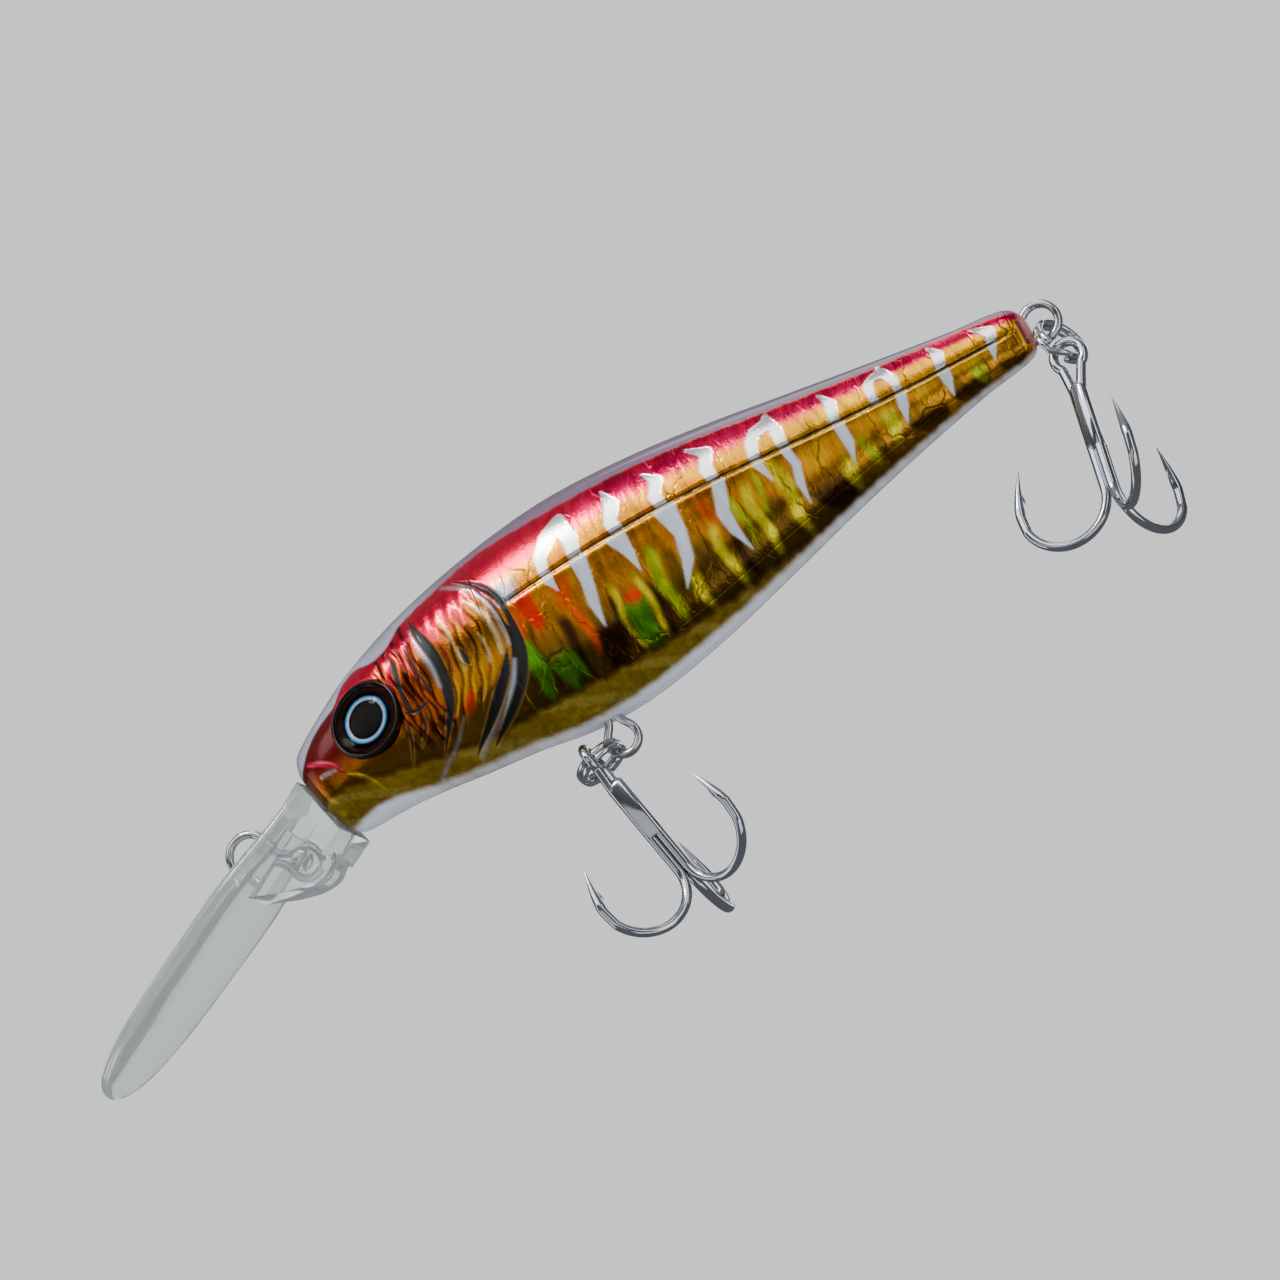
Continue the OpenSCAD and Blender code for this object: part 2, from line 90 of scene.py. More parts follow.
# Place along the body, back height, belly depth and half width, in hundredths.
FORM = np.array([
    [0, 6, -66, 46], [1, 17, -69, 58], [3, 27, -70, 69], [6.5, 41, -70, 79],
    [10, 54, -71, 86], [15, 68, -75, 92], [20, 79, -81, 97], [26.5, 89, -88, 100],
    [34, 97, -99, 100], [42, 100, -100, 97], [52, 94, -89, 89], [62, 82, -72, 78],
    [72, 67, -54, 65], [82, 52, -38, 53], [92, 38, -25, 38], [98, 31, -20, 27],
    [100, 22, -13, 17]], float)
LEAN_END, FACE_LEAN = 14.0, 0.27


def hermite(places, values, p):
    """A smooth curve through values at places, read at p."""
    places, values, p = (np.asarray(v, float) for v in (places, values, p))
    p = np.clip(p, places[0], places[-1])
    k = np.clip(np.searchsorted(places, p, side="right") - 1, 0, len(places) - 2)
    before = np.maximum(np.arange(len(places)) - 1, 0)
    after = np.minimum(np.arange(len(places)) + 1, len(places) - 1)
    rise = (values[after] - values[before]) / (places[after] - places[before])
    w = places[k + 1] - places[k]
    t = (p - places[k]) / w
    return ((2 * t**3 - 3 * t**2 + 1) * values[k] + (t**3 - 2 * t**2 + t) * w * rise[k]
            + (3 * t**2 - 2 * t**3) * values[k + 1] + (t**3 - t**2) * w * rise[k + 1])


def along(column, x, size):
    return hermite(FORM[:, 0], FORM[:, column], 100 * np.asarray(x, float) / BODY_L) * size / 200


def back(x):
    return along(1, x, BODY_H)


def belly(x):
    return along(2, x, BODY_H)


def half_w(x):
    return along(3, x, BODY_W)


def power(v, e):
    return np.sign(v) * np.abs(v) ** e


def skin(x, a, inset):
    """Points of the left half's skin at station x and angle a, set inwards by inset."""
    mid = (back(x) + belly(x)) / 2
    half = (back(x) - belly(x)) / 2 - inset
    z = mid + half * power(np.sin(a), 2 / BULGE)
    y = -np.maximum(half_w(x) - inset, 0.3) * power(np.cos(a), 2 / BULGE)
    lean = np.where(x < LEAN_END, FACE_LEAN * np.maximum(1 - x / LEAN_END, 0) ** 2, 0)
    return np.stack([x + lean * (back(x) - z), y, z], -1)


def flank_y(x, z):
    mid, half = (back(x) + belly(x)) / 2, (back(x) - belly(x)) / 2
    return half_w(x) * max(1 - (abs(z - mid) / half) ** BULGE, 0) ** (1 / BULGE)


def smooth(low, high, v):
    t = np.clip((v - low) / (high - low), 0, 1)
    return t * t * (3 - 2 * t)


# ---- moving shapes about --------------------------------------------------------------
def shift(x, y, z):
    m = np.eye(4)
    m[:3, 3] = (x, y, z)
    return m


def spin(axis, degrees):
    c, s = math.cos(math.radians(degrees)), math.sin(math.radians(degrees))
    m = np.eye(4)
    i, j = {"x": (1, 2), "y": (2, 0), "z": (0, 1)}[axis]
    m[i, i], m[i, j], m[j, i], m[j, j] = c, -s, s, c
    return m


def moved(points, m):
    return np.asarray(points, float) @ m[:3, :3].T + m[:3, 3]


MIRROR = np.diag([1.0, -1.0, 1.0, 1.0])


def solid(shape, name):
    """An object from points in the lure's axes and faces, which are turned outwards."""
    verts, faces = shape
    mesh = bpy.data.meshes.new(name)
    mesh.from_pydata(((np.asarray(verts, float) - TIE) * MM).tolist(), [],
                     [tuple(int(v) for v in f) for f in faces])
    mesh.validate()
    bm = bmesh.new()
    bm.from_mesh(mesh)
    bmesh.ops.recalc_face_normals(bm, faces=bm.faces[:])
    bm.to_mesh(mesh)
    bm.free()
    return linked(name, mesh)


def new_piece(name, verts, faces, body, mat, replaced=()):
    """A smooth piece of the visual model, riding on a CAD body."""
    piece = solid((verts, faces), name)
    piece.data.shade_smooth()
    piece.data.materials.append(mat)
    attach(piece, body)
    if replaced:
        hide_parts(*replaced)
    return piece


def soft_edges(piece, width=0.12, angle=35, segments=3):
    """Rounds a piece's sharp edges and keeps its flats flat."""
    bevel = piece.modifiers.new("rounding", "BEVEL")
    bevel.width = width * MM
    bevel.segments = segments
    bevel.limit_method = "ANGLE"
    bevel.angle_limit = math.radians(angle)
    bevel.harden_normals = True
    return piece


# ---- swept wire and turned shapes -----------------------------------------------------
def unit(v):
    return v / np.linalg.norm(v)


def eased(path, values, rounds=3):
    """Cuts the corners of a path, and of the values along it, a few times."""
    both = np.column_stack([path, values])
    for _ in range(rounds):
        near, far = both[:-1], both[1:]
        cut = np.empty((2 * len(near), both.shape[1]))
        cut[0::2], cut[1::2] = 0.75 * near + 0.25 * far, 0.25 * near + 0.75 * far
        both = np.vstack([both[:1], cut, both[-1:]])
    return both[:, :3], both[:, 3:]


def wall_faces(rings, sides):
    """The quads between closed rings of points."""
    return [(k * sides + m, k * sides + (m + 1) % sides,
             (k + 1) * sides + (m + 1) % sides, (k + 1) * sides + m)
            for k in range(rings - 1) for m in range(sides)]


def stacked(rings):
    """A solid from closed rings of points, flat at both ends."""
    n, last = len(rings[0]), len(rings) - 1
    ends = [tuple(range(n)), tuple(range(last * n, (last + 1) * n))]
    return np.vstack(rings), wall_faces(len(rings), n) + ends


def sweep(path, radii, sides=20, squareness=2.0, seed=(0.12, 1, 0.31)):
    """A closed tube along path. radii holds one or two half sizes for each point."""
    path = np.asarray(path, float)
    radii = np.asarray(radii, float).reshape(len(path), -1)
    wide, deep = radii[:, 0], radii[:, -1]
    heading = np.gradient(path, axis=0)
    heading /= np.linalg.norm(heading, axis=1)[:, None]
    side = np.array(seed, float)
    rings = []
    angles = 2 * np.pi * np.arange(sides) / sides
    c, s = power(np.cos(angles), 2 / squareness), power(np.sin(angles), 2 / squareness)
    for point, t, a, b in zip(path, heading, wide, deep):
        side = unit(side - (side @ t) * t)
        rings.append(point + a * c[:, None] * side + b * s[:, None] * np.cross(t, side))
    last = (len(path) - 1) * sides
    ends = [tuple(range(sides - 1, -1, -1)), tuple(range(last, last + sides))]
    return np.vstack(rings), wall_faces(len(path), sides) + ends


def lathe(profile, sides=96):
    """A solid of revolution about Z from (radius, height) points; it starts and ends on Z."""
    inner = profile[1:-1]
    angles = 2 * np.pi * np.arange(sides) / sides
    verts = [(0, 0, profile[0][1])]
    for r, h in inner:
        verts += [(r * math.cos(a), r * math.sin(a), h) for a in angles]
    verts.append((0, 0, profile[-1][1]))
    end = len(verts) - 1
    faces = [(0, 1 + (m + 1) % sides, 1 + m) for m in range(sides)]
    for k in range(len(inner) - 1):
        a, b = 1 + k * sides, 1 + (k + 1) * sides
        faces += [(a + m, a + (m + 1) % sides, b + (m + 1) % sides, b + m)
                  for m in range(sides)]
    a = 1 + (len(inner) - 1) * sides
    faces += [(a + m, a + (m + 1) % sides, end) for m in range(sides)]
    return np.array(verts, float), faces


def joined(*shapes):
    verts, faces, start = [], [], 0
    for v, f in shapes:
        verts.append(v)
        faces += [tuple(k + start for k in face) for face in f]
        start += len(v)
    return np.vstack(verts), faces


# ---- materials ------------------------------------------------------------------------
VIVID = 1.25


def rgb(r, g, b):
    """A colour given as it looks on screen, made linear and a little more vivid."""
    linear = [float(v) ** 2.2 for v in (r, g, b)]
    grey = sum(linear) / 3
    return tuple(max(grey + (v - grey) * VIVID, 0.0) for v in linear)


class Shader:
    """A node material under construction; places are in metres of the row frame."""

    def __init__(self, name):
        self.mat = bpy.data.materials.new(name)
        self.mat.use_nodes = True
        self.tree = self.mat.node_tree
        self.main = self.tree.nodes["Principled BSDF"]
        self.place = self.add("ShaderNodeTexCoord").outputs["Object"]

    def add(self, kind, **values):
        node = self.tree.nodes.new(kind)
        for key, value in values.items():
            setattr(node, key, value)
        return node

    def plug(self, value, socket):
        if hasattr(value, "links"):
            self.tree.links.new(value, socket)
        else:
            socket.default_value = value

    def math(self, operation, a, b=0.0):
        node = self.add("ShaderNodeMath", operation=operation)
        for value, socket in zip((a, b), node.inputs):
            self.plug(value, socket)
        return node.outputs[0]

    def stretched(self, x, y, z):
        node = self.add("ShaderNodeMapping")
        node.inputs["Scale"].default_value = (x, y, z)
        self.plug(self.place, node.inputs["Vector"])
        return node.outputs[0]

    def noise(self, scale, detail=3.0, at=None, roughness=0.5, distortion=0.0):
        node = self.add("ShaderNodeTexNoise")
        self.plug(self.place if at is None else at, node.inputs["Vector"])
        node.inputs["Scale"].default_value = scale
        node.inputs["Detail"].default_value = detail
        node.inputs["Roughness"].default_value = roughness
        node.inputs["Distortion"].default_value = distortion
        return node.outputs[0]

    def cracks(self, scale, width, at=None):
        """1 on the thin lines between cells of about 1/scale metres, 0 elsewhere."""
        node = self.add("ShaderNodeTexVoronoi", feature="DISTANCE_TO_EDGE")
        self.plug(self.place if at is None else at, node.inputs["Vector"])
        node.inputs["Scale"].default_value = scale
        return self.remap(node.outputs["Distance"], 0, width, 1, 0)

    def remap(self, value, low, high, to_low, to_high):
        node = self.add("ShaderNodeMapRange")
        for v, socket in zip((value, low, high, to_low, to_high), node.inputs):
            self.plug(v, socket)
        return node.outputs[0]

    def mix(self, factor, a, b, how="MIX"):
        node = self.add("ShaderNodeMix", data_type="RGBA", blend_type=how)
        self.plug(factor, node.inputs[0])
        for value, socket in ((a, node.inputs[6]), (b, node.inputs[7])):
            self.plug((*value, 1) if isinstance(value, tuple) else value, socket)
        return node.outputs[2]

    def attribute(self, name, output="Color"):
        return self.add("ShaderNodeAttribute", attribute_name=name).outputs[output]

    def bump(self, height, distance, strength=1.0, over=None):
        node = self.add("ShaderNodeBump")
        node.inputs["Strength"].default_value = strength
        node.inputs["Distance"].default_value = distance
        self.plug(height, node.inputs["Height"])
        if over is not None:
            self.plug(over, node.inputs["Normal"])
        return node.outputs[0]

    def set(self, **values):
        for key, value in values.items():
            socket = self.main.inputs[key.replace("_", " ")]
            self.plug((*value, 1) if isinstance(value, tuple) and len(value) == 3 else value,
                      socket)
        return self.mat


def paint_material():
    """Foil and lacquer under a clear coat. The mesh says which paint is where."""
    s = Shader("foil_and_lacquer")
    parts = s.add("ShaderNodeSeparateColor")
    s.plug(s.attribute("surface"), parts.inputs[0])
    metal, rough, crinkle = parts.outputs
    tall = s.stretched(1.0, 1.0, 0.22)
    streak = s.noise(1500, 4, tall, 0.6, 0.4)
    cloud = s.noise(260, 3)
    fine = s.noise(4200, 2)
    tint = s.math("ADD", s.math("MULTIPLY", streak, 0.55), s.math("MULTIPLY", cloud, 0.35))
    gain = s.remap(tint, 0.32, 0.6, 0.48, 1.42)
    gain = s.math("ADD", 1.0, s.math("MULTIPLY", s.math("SUBTRACT", gain, 1.0), crinkle))
    wide = s.add("ShaderNodeCombineXYZ")
    for socket in wide.inputs:
        s.plug(gain, socket)
    varied = s.mix(1.0, s.attribute("paint"), wide.outputs[0], "MULTIPLY")
    bent = s.add("ShaderNodeVectorMath", operation="ADD")
    s.plug(tall, bent.inputs[0])
    wander = s.add("ShaderNodeVectorMath", operation="SCALE")
    cloud_node = s.add("ShaderNodeTexNoise")
    s.plug(s.place, cloud_node.inputs["Vector"])
    cloud_node.inputs["Scale"].default_value = 420
    s.plug(cloud_node.outputs["Color"], wander.inputs[0])
    wander.inputs["Scale"].default_value = 0.0016
    s.plug(wander.outputs[0], bent.inputs[1])
    crack = s.math("MULTIPLY", s.cracks(210, 0.02, bent.outputs[0]), crinkle)
    colour = s.mix(s.math("MULTIPLY", crack, 0.3), varied, rgb(0.3, 0.16, 0.03))
    wrinkle = s.math("ADD", streak, s.math("MULTIPLY", crack, -0.5))
    wrinkle = s.math("MULTIPLY", wrinkle, crinkle)
    relief = s.bump(wrinkle, 0.00006, 0.8)
    relief = s.bump(s.math("MULTIPLY", fine, metal), 0.00002, 0.5, relief)
    roughness = s.math("ADD", rough, s.math("MULTIPLY", s.math("SUBTRACT", cloud, 0.5), 0.12))
    return s.set(Base_Color=colour, Metallic=metal, Roughness=roughness, Normal=relief,
                 Coat_Weight=0.3, Coat_Roughness=0.10, Coat_IOR=1.4,
                 Specular_IOR_Level=0.35)


def metal_material(name, colour, rough, grain=2200.0, wear=0.0):
    """Bright metal with a little uneven polish and fine drawing marks."""
    s = Shader(name)
    cloud = s.noise(500, 3)
    marks = s.noise(grain, 4, s.stretched(1, 1, 1), 0.65)
    tone = s.remap(cloud, 0.35, 0.7, 0.82, 1.08)
    dark = tuple(0.55 * v for v in colour)
    colour = s.mix(s.math("MULTIPLY", tone, 0.9), dark, colour)
    if wear:
        spots = s.remap(s.noise(1500, 5), 0.62, 0.7, 0, wear)
        colour = s.mix(spots, colour, rgb(0.2, 0.19, 0.18))
    rough_now = s.remap(marks, 0.3, 0.75, rough * 0.75, rough * 1.35)
    return s.set(Base_Color=colour, Metallic=1.0, Roughness=rough_now,
                 Normal=s.bump(marks, 0.000006, 0.15))


def clear_material(name, tint, rough=0.02, haze=0.0, ior=1.5):
    """Moulded clear plastic with faint flow marks and a few scuffs."""
    s = Shader(name)
    flow = s.noise(120, 2, s.stretched(0.35, 1, 1))
    scuff = s.remap(s.noise(900, 4, s.stretched(1, 0.2, 1)), 0.62, 0.75, 0, 1)
    colour = s.mix(flow, tuple(0.93 * v for v in tint), tint)
    rough_now = s.math("ADD", rough, s.math("MULTIPLY", scuff, 0.06))
    return s.set(Base_Color=colour, Roughness=rough_now, IOR=ior,
                 Transmission_Weight=1.0 - haze, Normal=s.bump(flow, 0.00004, 0.2))


def lacquer_material(name, colour, rough=0.15):
    s = Shader(name)
    cloud = s.noise(700, 3)
    mixed = s.mix(cloud, tuple(0.7 * v for v in colour), colour)
    return s.set(Base_Color=mixed, Roughness=s.remap(cloud, 0.3, 0.7, rough, rough * 1.6),
                 Specular_IOR_Level=0.25, Coat_Weight=0.25, Coat_Roughness=0.05,
                 Normal=s.bump(s.noise(3000, 2), 0.000008, 0.3))


paint = paint_material()
wire_metal = metal_material("stainless_wire", rgb(0.84, 0.85, 0.87), 0.12, 700)
ring_metal = metal_material("nickel_ring", rgb(0.88, 0.89, 0.91), 0.09, 700)
hook_metal = metal_material("plated_hook", rgb(0.80, 0.82, 0.85), 0.10, 600, wear=0.1)
ballast_metal = metal_material("ballast_alloy", rgb(0.52, 0.52, 0.54), 0.45, 900, wear=0.6)
magnet_metal = metal_material("magnet_plating", rgb(0.66, 0.66, 0.68), 0.25, 1400)
ball_metal = metal_material("bearing_ball", rgb(0.86, 0.87, 0.89), 0.07)
lip_clear = clear_material("clear_lip", (0.82, 0.895, 0.87), 0.04, 0.20)
dome_clear = clear_material("clear_dome", (0.97, 0.985, 1.0), 0.01, ior=1.12)
socket_black = lacquer_material("socket_black", rgb(0.05, 0.05, 0.055), 0.12)


# ---- the paint on the flanks, in millimetres along (x) and up (z) the body -------------
# A stroke is a list of (x, z, half width) points.
EDGE = 0.09
RIM_LINE = [(0, -1.2), (1.5, 0.1), (3, 1.3), (5, 2.3), (6.8, 2.9), (8.2, 4.3), (10, 5.0),
            (12, 4.5), (14, 4.8), (16, 6.2), (20, 7.3), (25, 8.4), (32, 8.3), (40, 8.0),
            (45, 7.5), (50, 6.8), (55, 5.9), (60, 5.1), (65, 4.3), (70, 3.7), (75, 3.1),
            (80, 2.2)]
SIDE_LINE = [(24, 1.9), (32, 2.35), (40, 2.5), (46, 2.3), (52, 1.85), (60, 1.15), (66, 0.7),
             (72, 0.5), (80, 0.35)]
BELLY_TOP = [(0, .1), (4, .5), (7, .45), (12, .1), (20, .1), (30, .25), (40, .25), (48, .15),
             (60, .1), (80, .05)]
GOLD_TOP = [(3, -4.4), (10, -5.8), (18, -7.4), (25, -8.0), (35, -8.5), (45, -7.8), (55, -6.2),
            (65, -4.2), (75, -2.6), (80, -1.8)]
UPPER_BARS = [
    [(30.8, 2.4, .45), (31.0, 4.2, .6), (32.4, 5.6, .85), (34.0, 6.6, .7)],
    [(34.1, 2.4, .6), (34.3, 4.4, .8), (33.8, 6.4, .8)],
    [(38.6, 2.4, .7), (38.4, 3.8, .65), (39.1, 5.2, .75), (38.7, 7.0, .12)],
    [(43.3, 2.4, .55), (43.1, 3.8, .6), (43.8, 5.0, .62), (42.8, 6.4, .1)],
    [(48.6, 2.2, .6), (48.4, 3.6, .6), (49.0, 5.0, .62), (47.3, 6.4, .1)],
    [(52.7, 1.9, .5), (53.1, 3.6, .6), (53.7, 4.3, .6), (55.0, 4.5, .7)],
    [(55.6, 1.8, .5), (55.6, 3.4, .6), (55.2, 5.3, .3)],
    [(60.7, 1.2, .5), (61.1, 3.0, .55), (60.4, 4.5, .1)],
    [(64.8, .9, .4), (64.8, 2.8, .42), (65.6, 3.3, .4), (66.5, 3.2, .5), (67.2, 2.0, .4),
     (67.1, .8, .35)],
    [(66.4, 3.3, .4), (66.3, 4.6, .08)],
    [(71.4, .6, .5), (71.7, 2, .55), (71.1, 3.3, .08)],
    [(76.5, .5, .45), (76.8, 1.6, .55), (75.2, 2.8, .08)]]
LOWER_BARS = [
    [(34.2, 2.0, .8), (34.1, 0, .62), (33.7, -2.2, .55), (33.6, -4.7, .06)],
    [(30.9, 2.0, .5), (31.3, .5, .08)],
    [(38.3, 2.1, 1.0), (38.7, .2, .5), (38.9, -1.9, .06)],
    [(43.4, 2.1, 1.1), (43.7, -.6, .62), (43.2, -3, .6), (41.8, -5.4, .06)],
    [(48.9, 1.9, .65), (48.0, -1, .62), (48.1, -2.8, .5), (48.7, -5.1, .06)],
    [(52.8, 1.5, .5), (53.3, -.7, .06)],
    [(55.6, 1.3, .45), (55.9, -.5, .42), (55.4, -2, .4), (55.3, -4, .06)],
    [(60.9, 1, .55), (61, -1, .5), (60.6, -2.9, .06)],
    [(67.2, .6, .5), (66.9, -.6, .48), (66.5, -2.1, .06)],
    [(71.5, .4, .6), (71.5, -.5, .5), (71.3, -1.9, .06)],
    [(76.4, .3, .45), (76.1, -1, .06)]]
GREEN, LIME, YELLOW = rgb(.36, .62, .02), rgb(.68, .74, .0), rgb(.98, .90, .0)
AMBER, ORANGE, FLAME = rgb(.84, .57, .05), rgb(.95, .44, .0), rgb(.95, .15, .0)
OLIVE, UMBER = rgb(.42, .33, .06), rgb(.20, .11, .03)
CRIMSON, PINK, PEACH = rgb(.76, .04, .30), rgb(.95, .30, .44), rgb(.92, .68, .16)
MILK, SILVER, MAUVE = rgb(.80, .83, .86), rgb(.70, .74, .77), rgb(.42, .36, .42)
BLACK, CREAM = rgb(.03, .028, .03), rgb(1, .93, .72)
# Streaks of foil below the side line: centre, top, bottom, half width, colour.
STREAKS = [
    (27.2, -1.0, -7.8, .22, UMBER), (30.3, -1.8, -8.4, .55, UMBER), (33.3, -4.6, -8.8, 1.3, UMBER),
    (35.2, -2.5, -8.6, .3, UMBER), (38.95, -3, -8.5, .4, UMBER), (41.6, -1.2, -8.4, .6, OLIVE),
    (45.0, -2.2, -8.2, .85, OLIVE), (47.8, -3.5, -7.8, .4, UMBER), (49.95, -1.6, -7.2, .3, OLIVE),
    (52.3, -2.0, -6.6, .9, OLIVE), (58.0, -3.0, -5.5, 2.2, UMBER), (63.4, -1.6, -4.6, .5, OLIVE),
    (68.3, -1.7, -3.4, 1.9, UMBER), (72.8, -1.2, -2.9, 1.9, UMBER), (77.4, -1.1, -2.4, 1.3, UMBER),
    (26.2, -2, -7.8, .8, GREEN), (26.6, 1.4, -1.8, .5, ORANGE), (28.1, 3.6, -2.0, .9, FLAME),
    (28.8, -5.0, -8.3, 1.25, GREEN), (29.1, -7.2, -8.4, .5, UMBER), (31.5, 1.6, -1.6, .9, ORANGE),
    (32.0, -1.6, -6.4, .5, ORANGE), (35.6, -1.8, -8.2, .25, YELLOW), (36.9, -4, -8.4, 1.1, GREEN),
    (37.0, -3.1, -4.2, .85, FLAME), (38.3, -2, -7.8, .28, YELLOW), (40.2, -.4, -7.8, .6, LIME),
    (42.9, -4.5, -7.8, .5, YELLOW), (46.6, 1.2, -2.2, .6, ORANGE), (46.4, -1.5, -7.8, .45, YELLOW),
    (49.2, 0, -4.6, .4, LIME), (50.7, .2, -6.6, .5, YELLOW), (51.8, 1.0, -3.2, .3, LIME),
    (54.0, 1.0, -6.0, .65, YELLOW), (57.6, .8, -2.0, 1.2, PEACH), (59.9, -2.2, -4.8, .6, YELLOW),
    (62.2, -1.3, -4.0, .4, LIME), (65.1, -.2, -3.2, .7, YELLOW), (69.4, .2, -1.3, 1.2, PEACH),
    (74.4, -.4, -2.2, .7, LIME)]
# Lines of the head: paint colour, how far the line is pressed in (or out), and its strokes.
HEAD_LINES = [
    (BLACK, .14, [(17.0, 6.2, .1), (17.5, 4, .32), (18.1, 1.6, .5), (18.05, -1, .5),
                  (17.5, -3.3, .4), (16.2, -5, .22), (14.4, -6.7, .07)]),
    (SILVER, -.05, [(16.8, 5.0, .08), (17.0, 2.8, .22), (17.35, .6, .28), (17.3, -1.5, .08)]),
    (BLACK, .18, [(22.4, 7.2, .08), (24.6, 5.3, .2), (25.9, 3.2, .28), (26.15, 1.2, .2),
                  (25.95, -1, .45), (25.3, -3.2, .68), (23.9, -5.2, .6), (21.8, -6.9, .34),
                  (18.8, -8.2, .08)]),
    (MILK, -.10, [(21.2, 7.2, .12), (23.5, 5.7, .2), (24.75, 3.5, .24), (25.1, 1, .2),
                  (25.0, -1.4, .12)]),
    (BLACK, .05, [(24.3, 4.9, .06), (25.3, 2.6, .12), (25.5, 0, .14), (25.2, -1.6, .06)]),
    # The cream line just inside the gill's edge is a painted highlight.
    (CREAM, -.06, [(22.9, 4.6, .12), (24.1, 2.4, .26), (24.4, 0, .32), (24.0, -1.8, .16)]),
    (BLACK, .14, [(24.6, -1.7, .08), (23.6, -3.4, .42), (21.6, -5.2, .48), (19.2, -6.9, .28),
                  (16.8, -8, .07)]),
    (MILK, -.06, [(24.7, -3.0, .06), (23.6, -4.8, .12), (20.8, -6.8, .1), (16.9, -8.3, .06)]),
    (MILK, -.04, [(17.9, -5.0, .06), (15.9, -6.7, .09), (12.4, -7.9, .05)]),
    (BLACK, .10, [(13.9, 4.3, .1), (14.1, 2.2, .22), (13.5, -.5, .2), (13.9, -2.2, .1)]),
    (BLACK, .08, [(15.7, 3.8, .06), (15.9, 1.0, .12), (16.3, -1.2, .1)]),
    (BLACK, .08, [(13.2, -1.8, .12), (14.4, -2.3, .2), (15.7, -2.1, .1)]),
    (BLACK, .08, [(12.8, -3.0, .12), (12.4, -4.3, .16), (11.0, -6.2, .05)]),
    (BLACK, .08, [(14.8, -3.0, .08), (14.0, -4.3, .16), (12.9, -5.2, .06)]),
    (BLACK, .03, [(20.5, .7, .1), (20.6, -.2, .38), (20.8, -1.1, .12)]),
    (PINK, -.04, [(14.2, 4.2, .1), (13.2, 2.2, .16), (12.9, 0, .1)]),
    (PINK, -.04, [(15.1, 4.0, .08), (15.3, 2, .14), (15.6, .6, .08)]),
    (PINK, -.04, [(18.9, 4.0, .08), (19.3, 1.6, .14), (19.3, -1.2, .08)]),
    (CREAM, -.04, [(20.0, 4.6, .06), (20.3, 2, .13), (20.2, -1.4, .06)]),
    (PINK, -.05, [(21.3, 5.2, .1), (22.0, 3.6, .3), (22.0, 2.2, .08)]),
    (CREAM, -.04, [(22.8, .8, .06), (23.0, -.6, .16), (22.6, -2.0, .06)]),
    (FLAME, 0, [(19.6, -3.5, .3), (19.0, -4.3, .7), (18.4, -4.9, .3)]),
    (PINK, -.10, [(1.5, -.4, .1), (2.8, -1.3, .2), (3.8, -2.2, .22), (4.3, -3.0, .1)]),
    (MILK, -.06, [(2.0, -2.35, .16), (3.6, -2.55, .08)]),
    (YELLOW, -.10, [(4.5, -3.6, .06), (5.6, -4.3, .12), (6.4, -5.0, .13), (6.9, -6.2, .05)])]


# Folds of the gill plate: how far before the gill's edge, top and bottom.
GILL_FOLDS = [(1.5, 4.4, -0.6), (2.6, 3.8, -3.4), (3.6, 4.6, -5.0), (4.6, 3.2, -4.4),
              (5.6, 3.6, -5.4), (6.5, 1.8, -6.0)]
# Folds of the cheek: place along the body, top and bottom.
CHEEK_FOLDS = [(12.2, 3.4, -1.6), (12.9, 3.9, -3.6), (13.6, 2.2, -5.6), (14.3, 3.4, -4.0),
               (15.0, 4.2, -6.0), (15.7, 2.6, -3.4), (16.4, 4.0, -5.6)]


def gill_edge(z):
    """Where the head's foil ends, at heights z."""
    return 25.6 - 0.055 * (z - 1.2) ** 2


def fold_lines(z):
    """Each fold's middle line at heights z, how far it reaches, and which kind it is."""
    for gap, top, low in GILL_FOLDS:
        reach = smooth(top + 0.8, top - 0.8, z) * smooth(low - 0.8, low + 0.8, z)
        yield gill_edge(z) - gap + 0.14 * np.sin(1.7 * z + 2 * gap), reach, "gill"
    for place, top, low in CHEEK_FOLDS:
        reach = smooth(top + 0.6, top - 0.6, z) * smooth(low - 0.6, low + 0.6, z)
        yield place + 0.22 * np.sin(1.3 * z + 2 * place) - 0.05 * z, reach, "cheek"


def stroke(line, x, z, softness=EDGE):
    """1 inside a stroke of changing width, 0 outside, soft at its edge."""
    nearest = np.full(x.shape, 9.0)
    for (xa, za, wa), (xb, zb, wb) in zip(line[:-1], line[1:]):
        dx, dz = xb - xa, zb - za
        t = np.clip(((x - xa) * dx + (z - za) * dz) / (dx * dx + dz * dz), 0, 1)
        gap = np.hypot(x - xa - t * dx, z - za - t * dz) - (wa + (wb - wa) * t)
        nearest = np.minimum(nearest, gap)
    return 1 - smooth(-softness, softness, nearest)


def rounded(line, widen=1.0):
    """The same stroke with its corners cut."""
    path = np.array([(x, 0, z) for x, z, _ in line])
    path, width = eased(path, np.array([[w] for _, _, w in line]), 2)
    return [(p[0], p[2], widen * w[0]) for p, w in zip(path, width)]


def curve(points, x):
    places, values = zip(*points)
    return hermite(places, values, x)


class Coat:
    """Colour, metal, roughness and crinkle of every point, laid on coat by coat."""

    def __init__(self, count):
        self.colour = np.zeros((count, 3))
        self.finish = np.zeros((count, 3))

    def lay(self, mask, colour, finish=None):
        m = np.asarray(mask)[:, None]
        self.colour = self.colour * (1 - m) + np.asarray(colour) * m
        if finish is not None:
            self.finish = self.finish * (1 - m) + np.asarray(finish) * m


FOIL = (1.0, 0.20, 1.0)
HEAD_FOIL = (1.0, 0.16, 0.45)
LACQUER = (0.0, 0.22, 0.15)
SHELL = (0.0, 0.16, 0.10)
INK = (0.0, 0.4, 0.05)


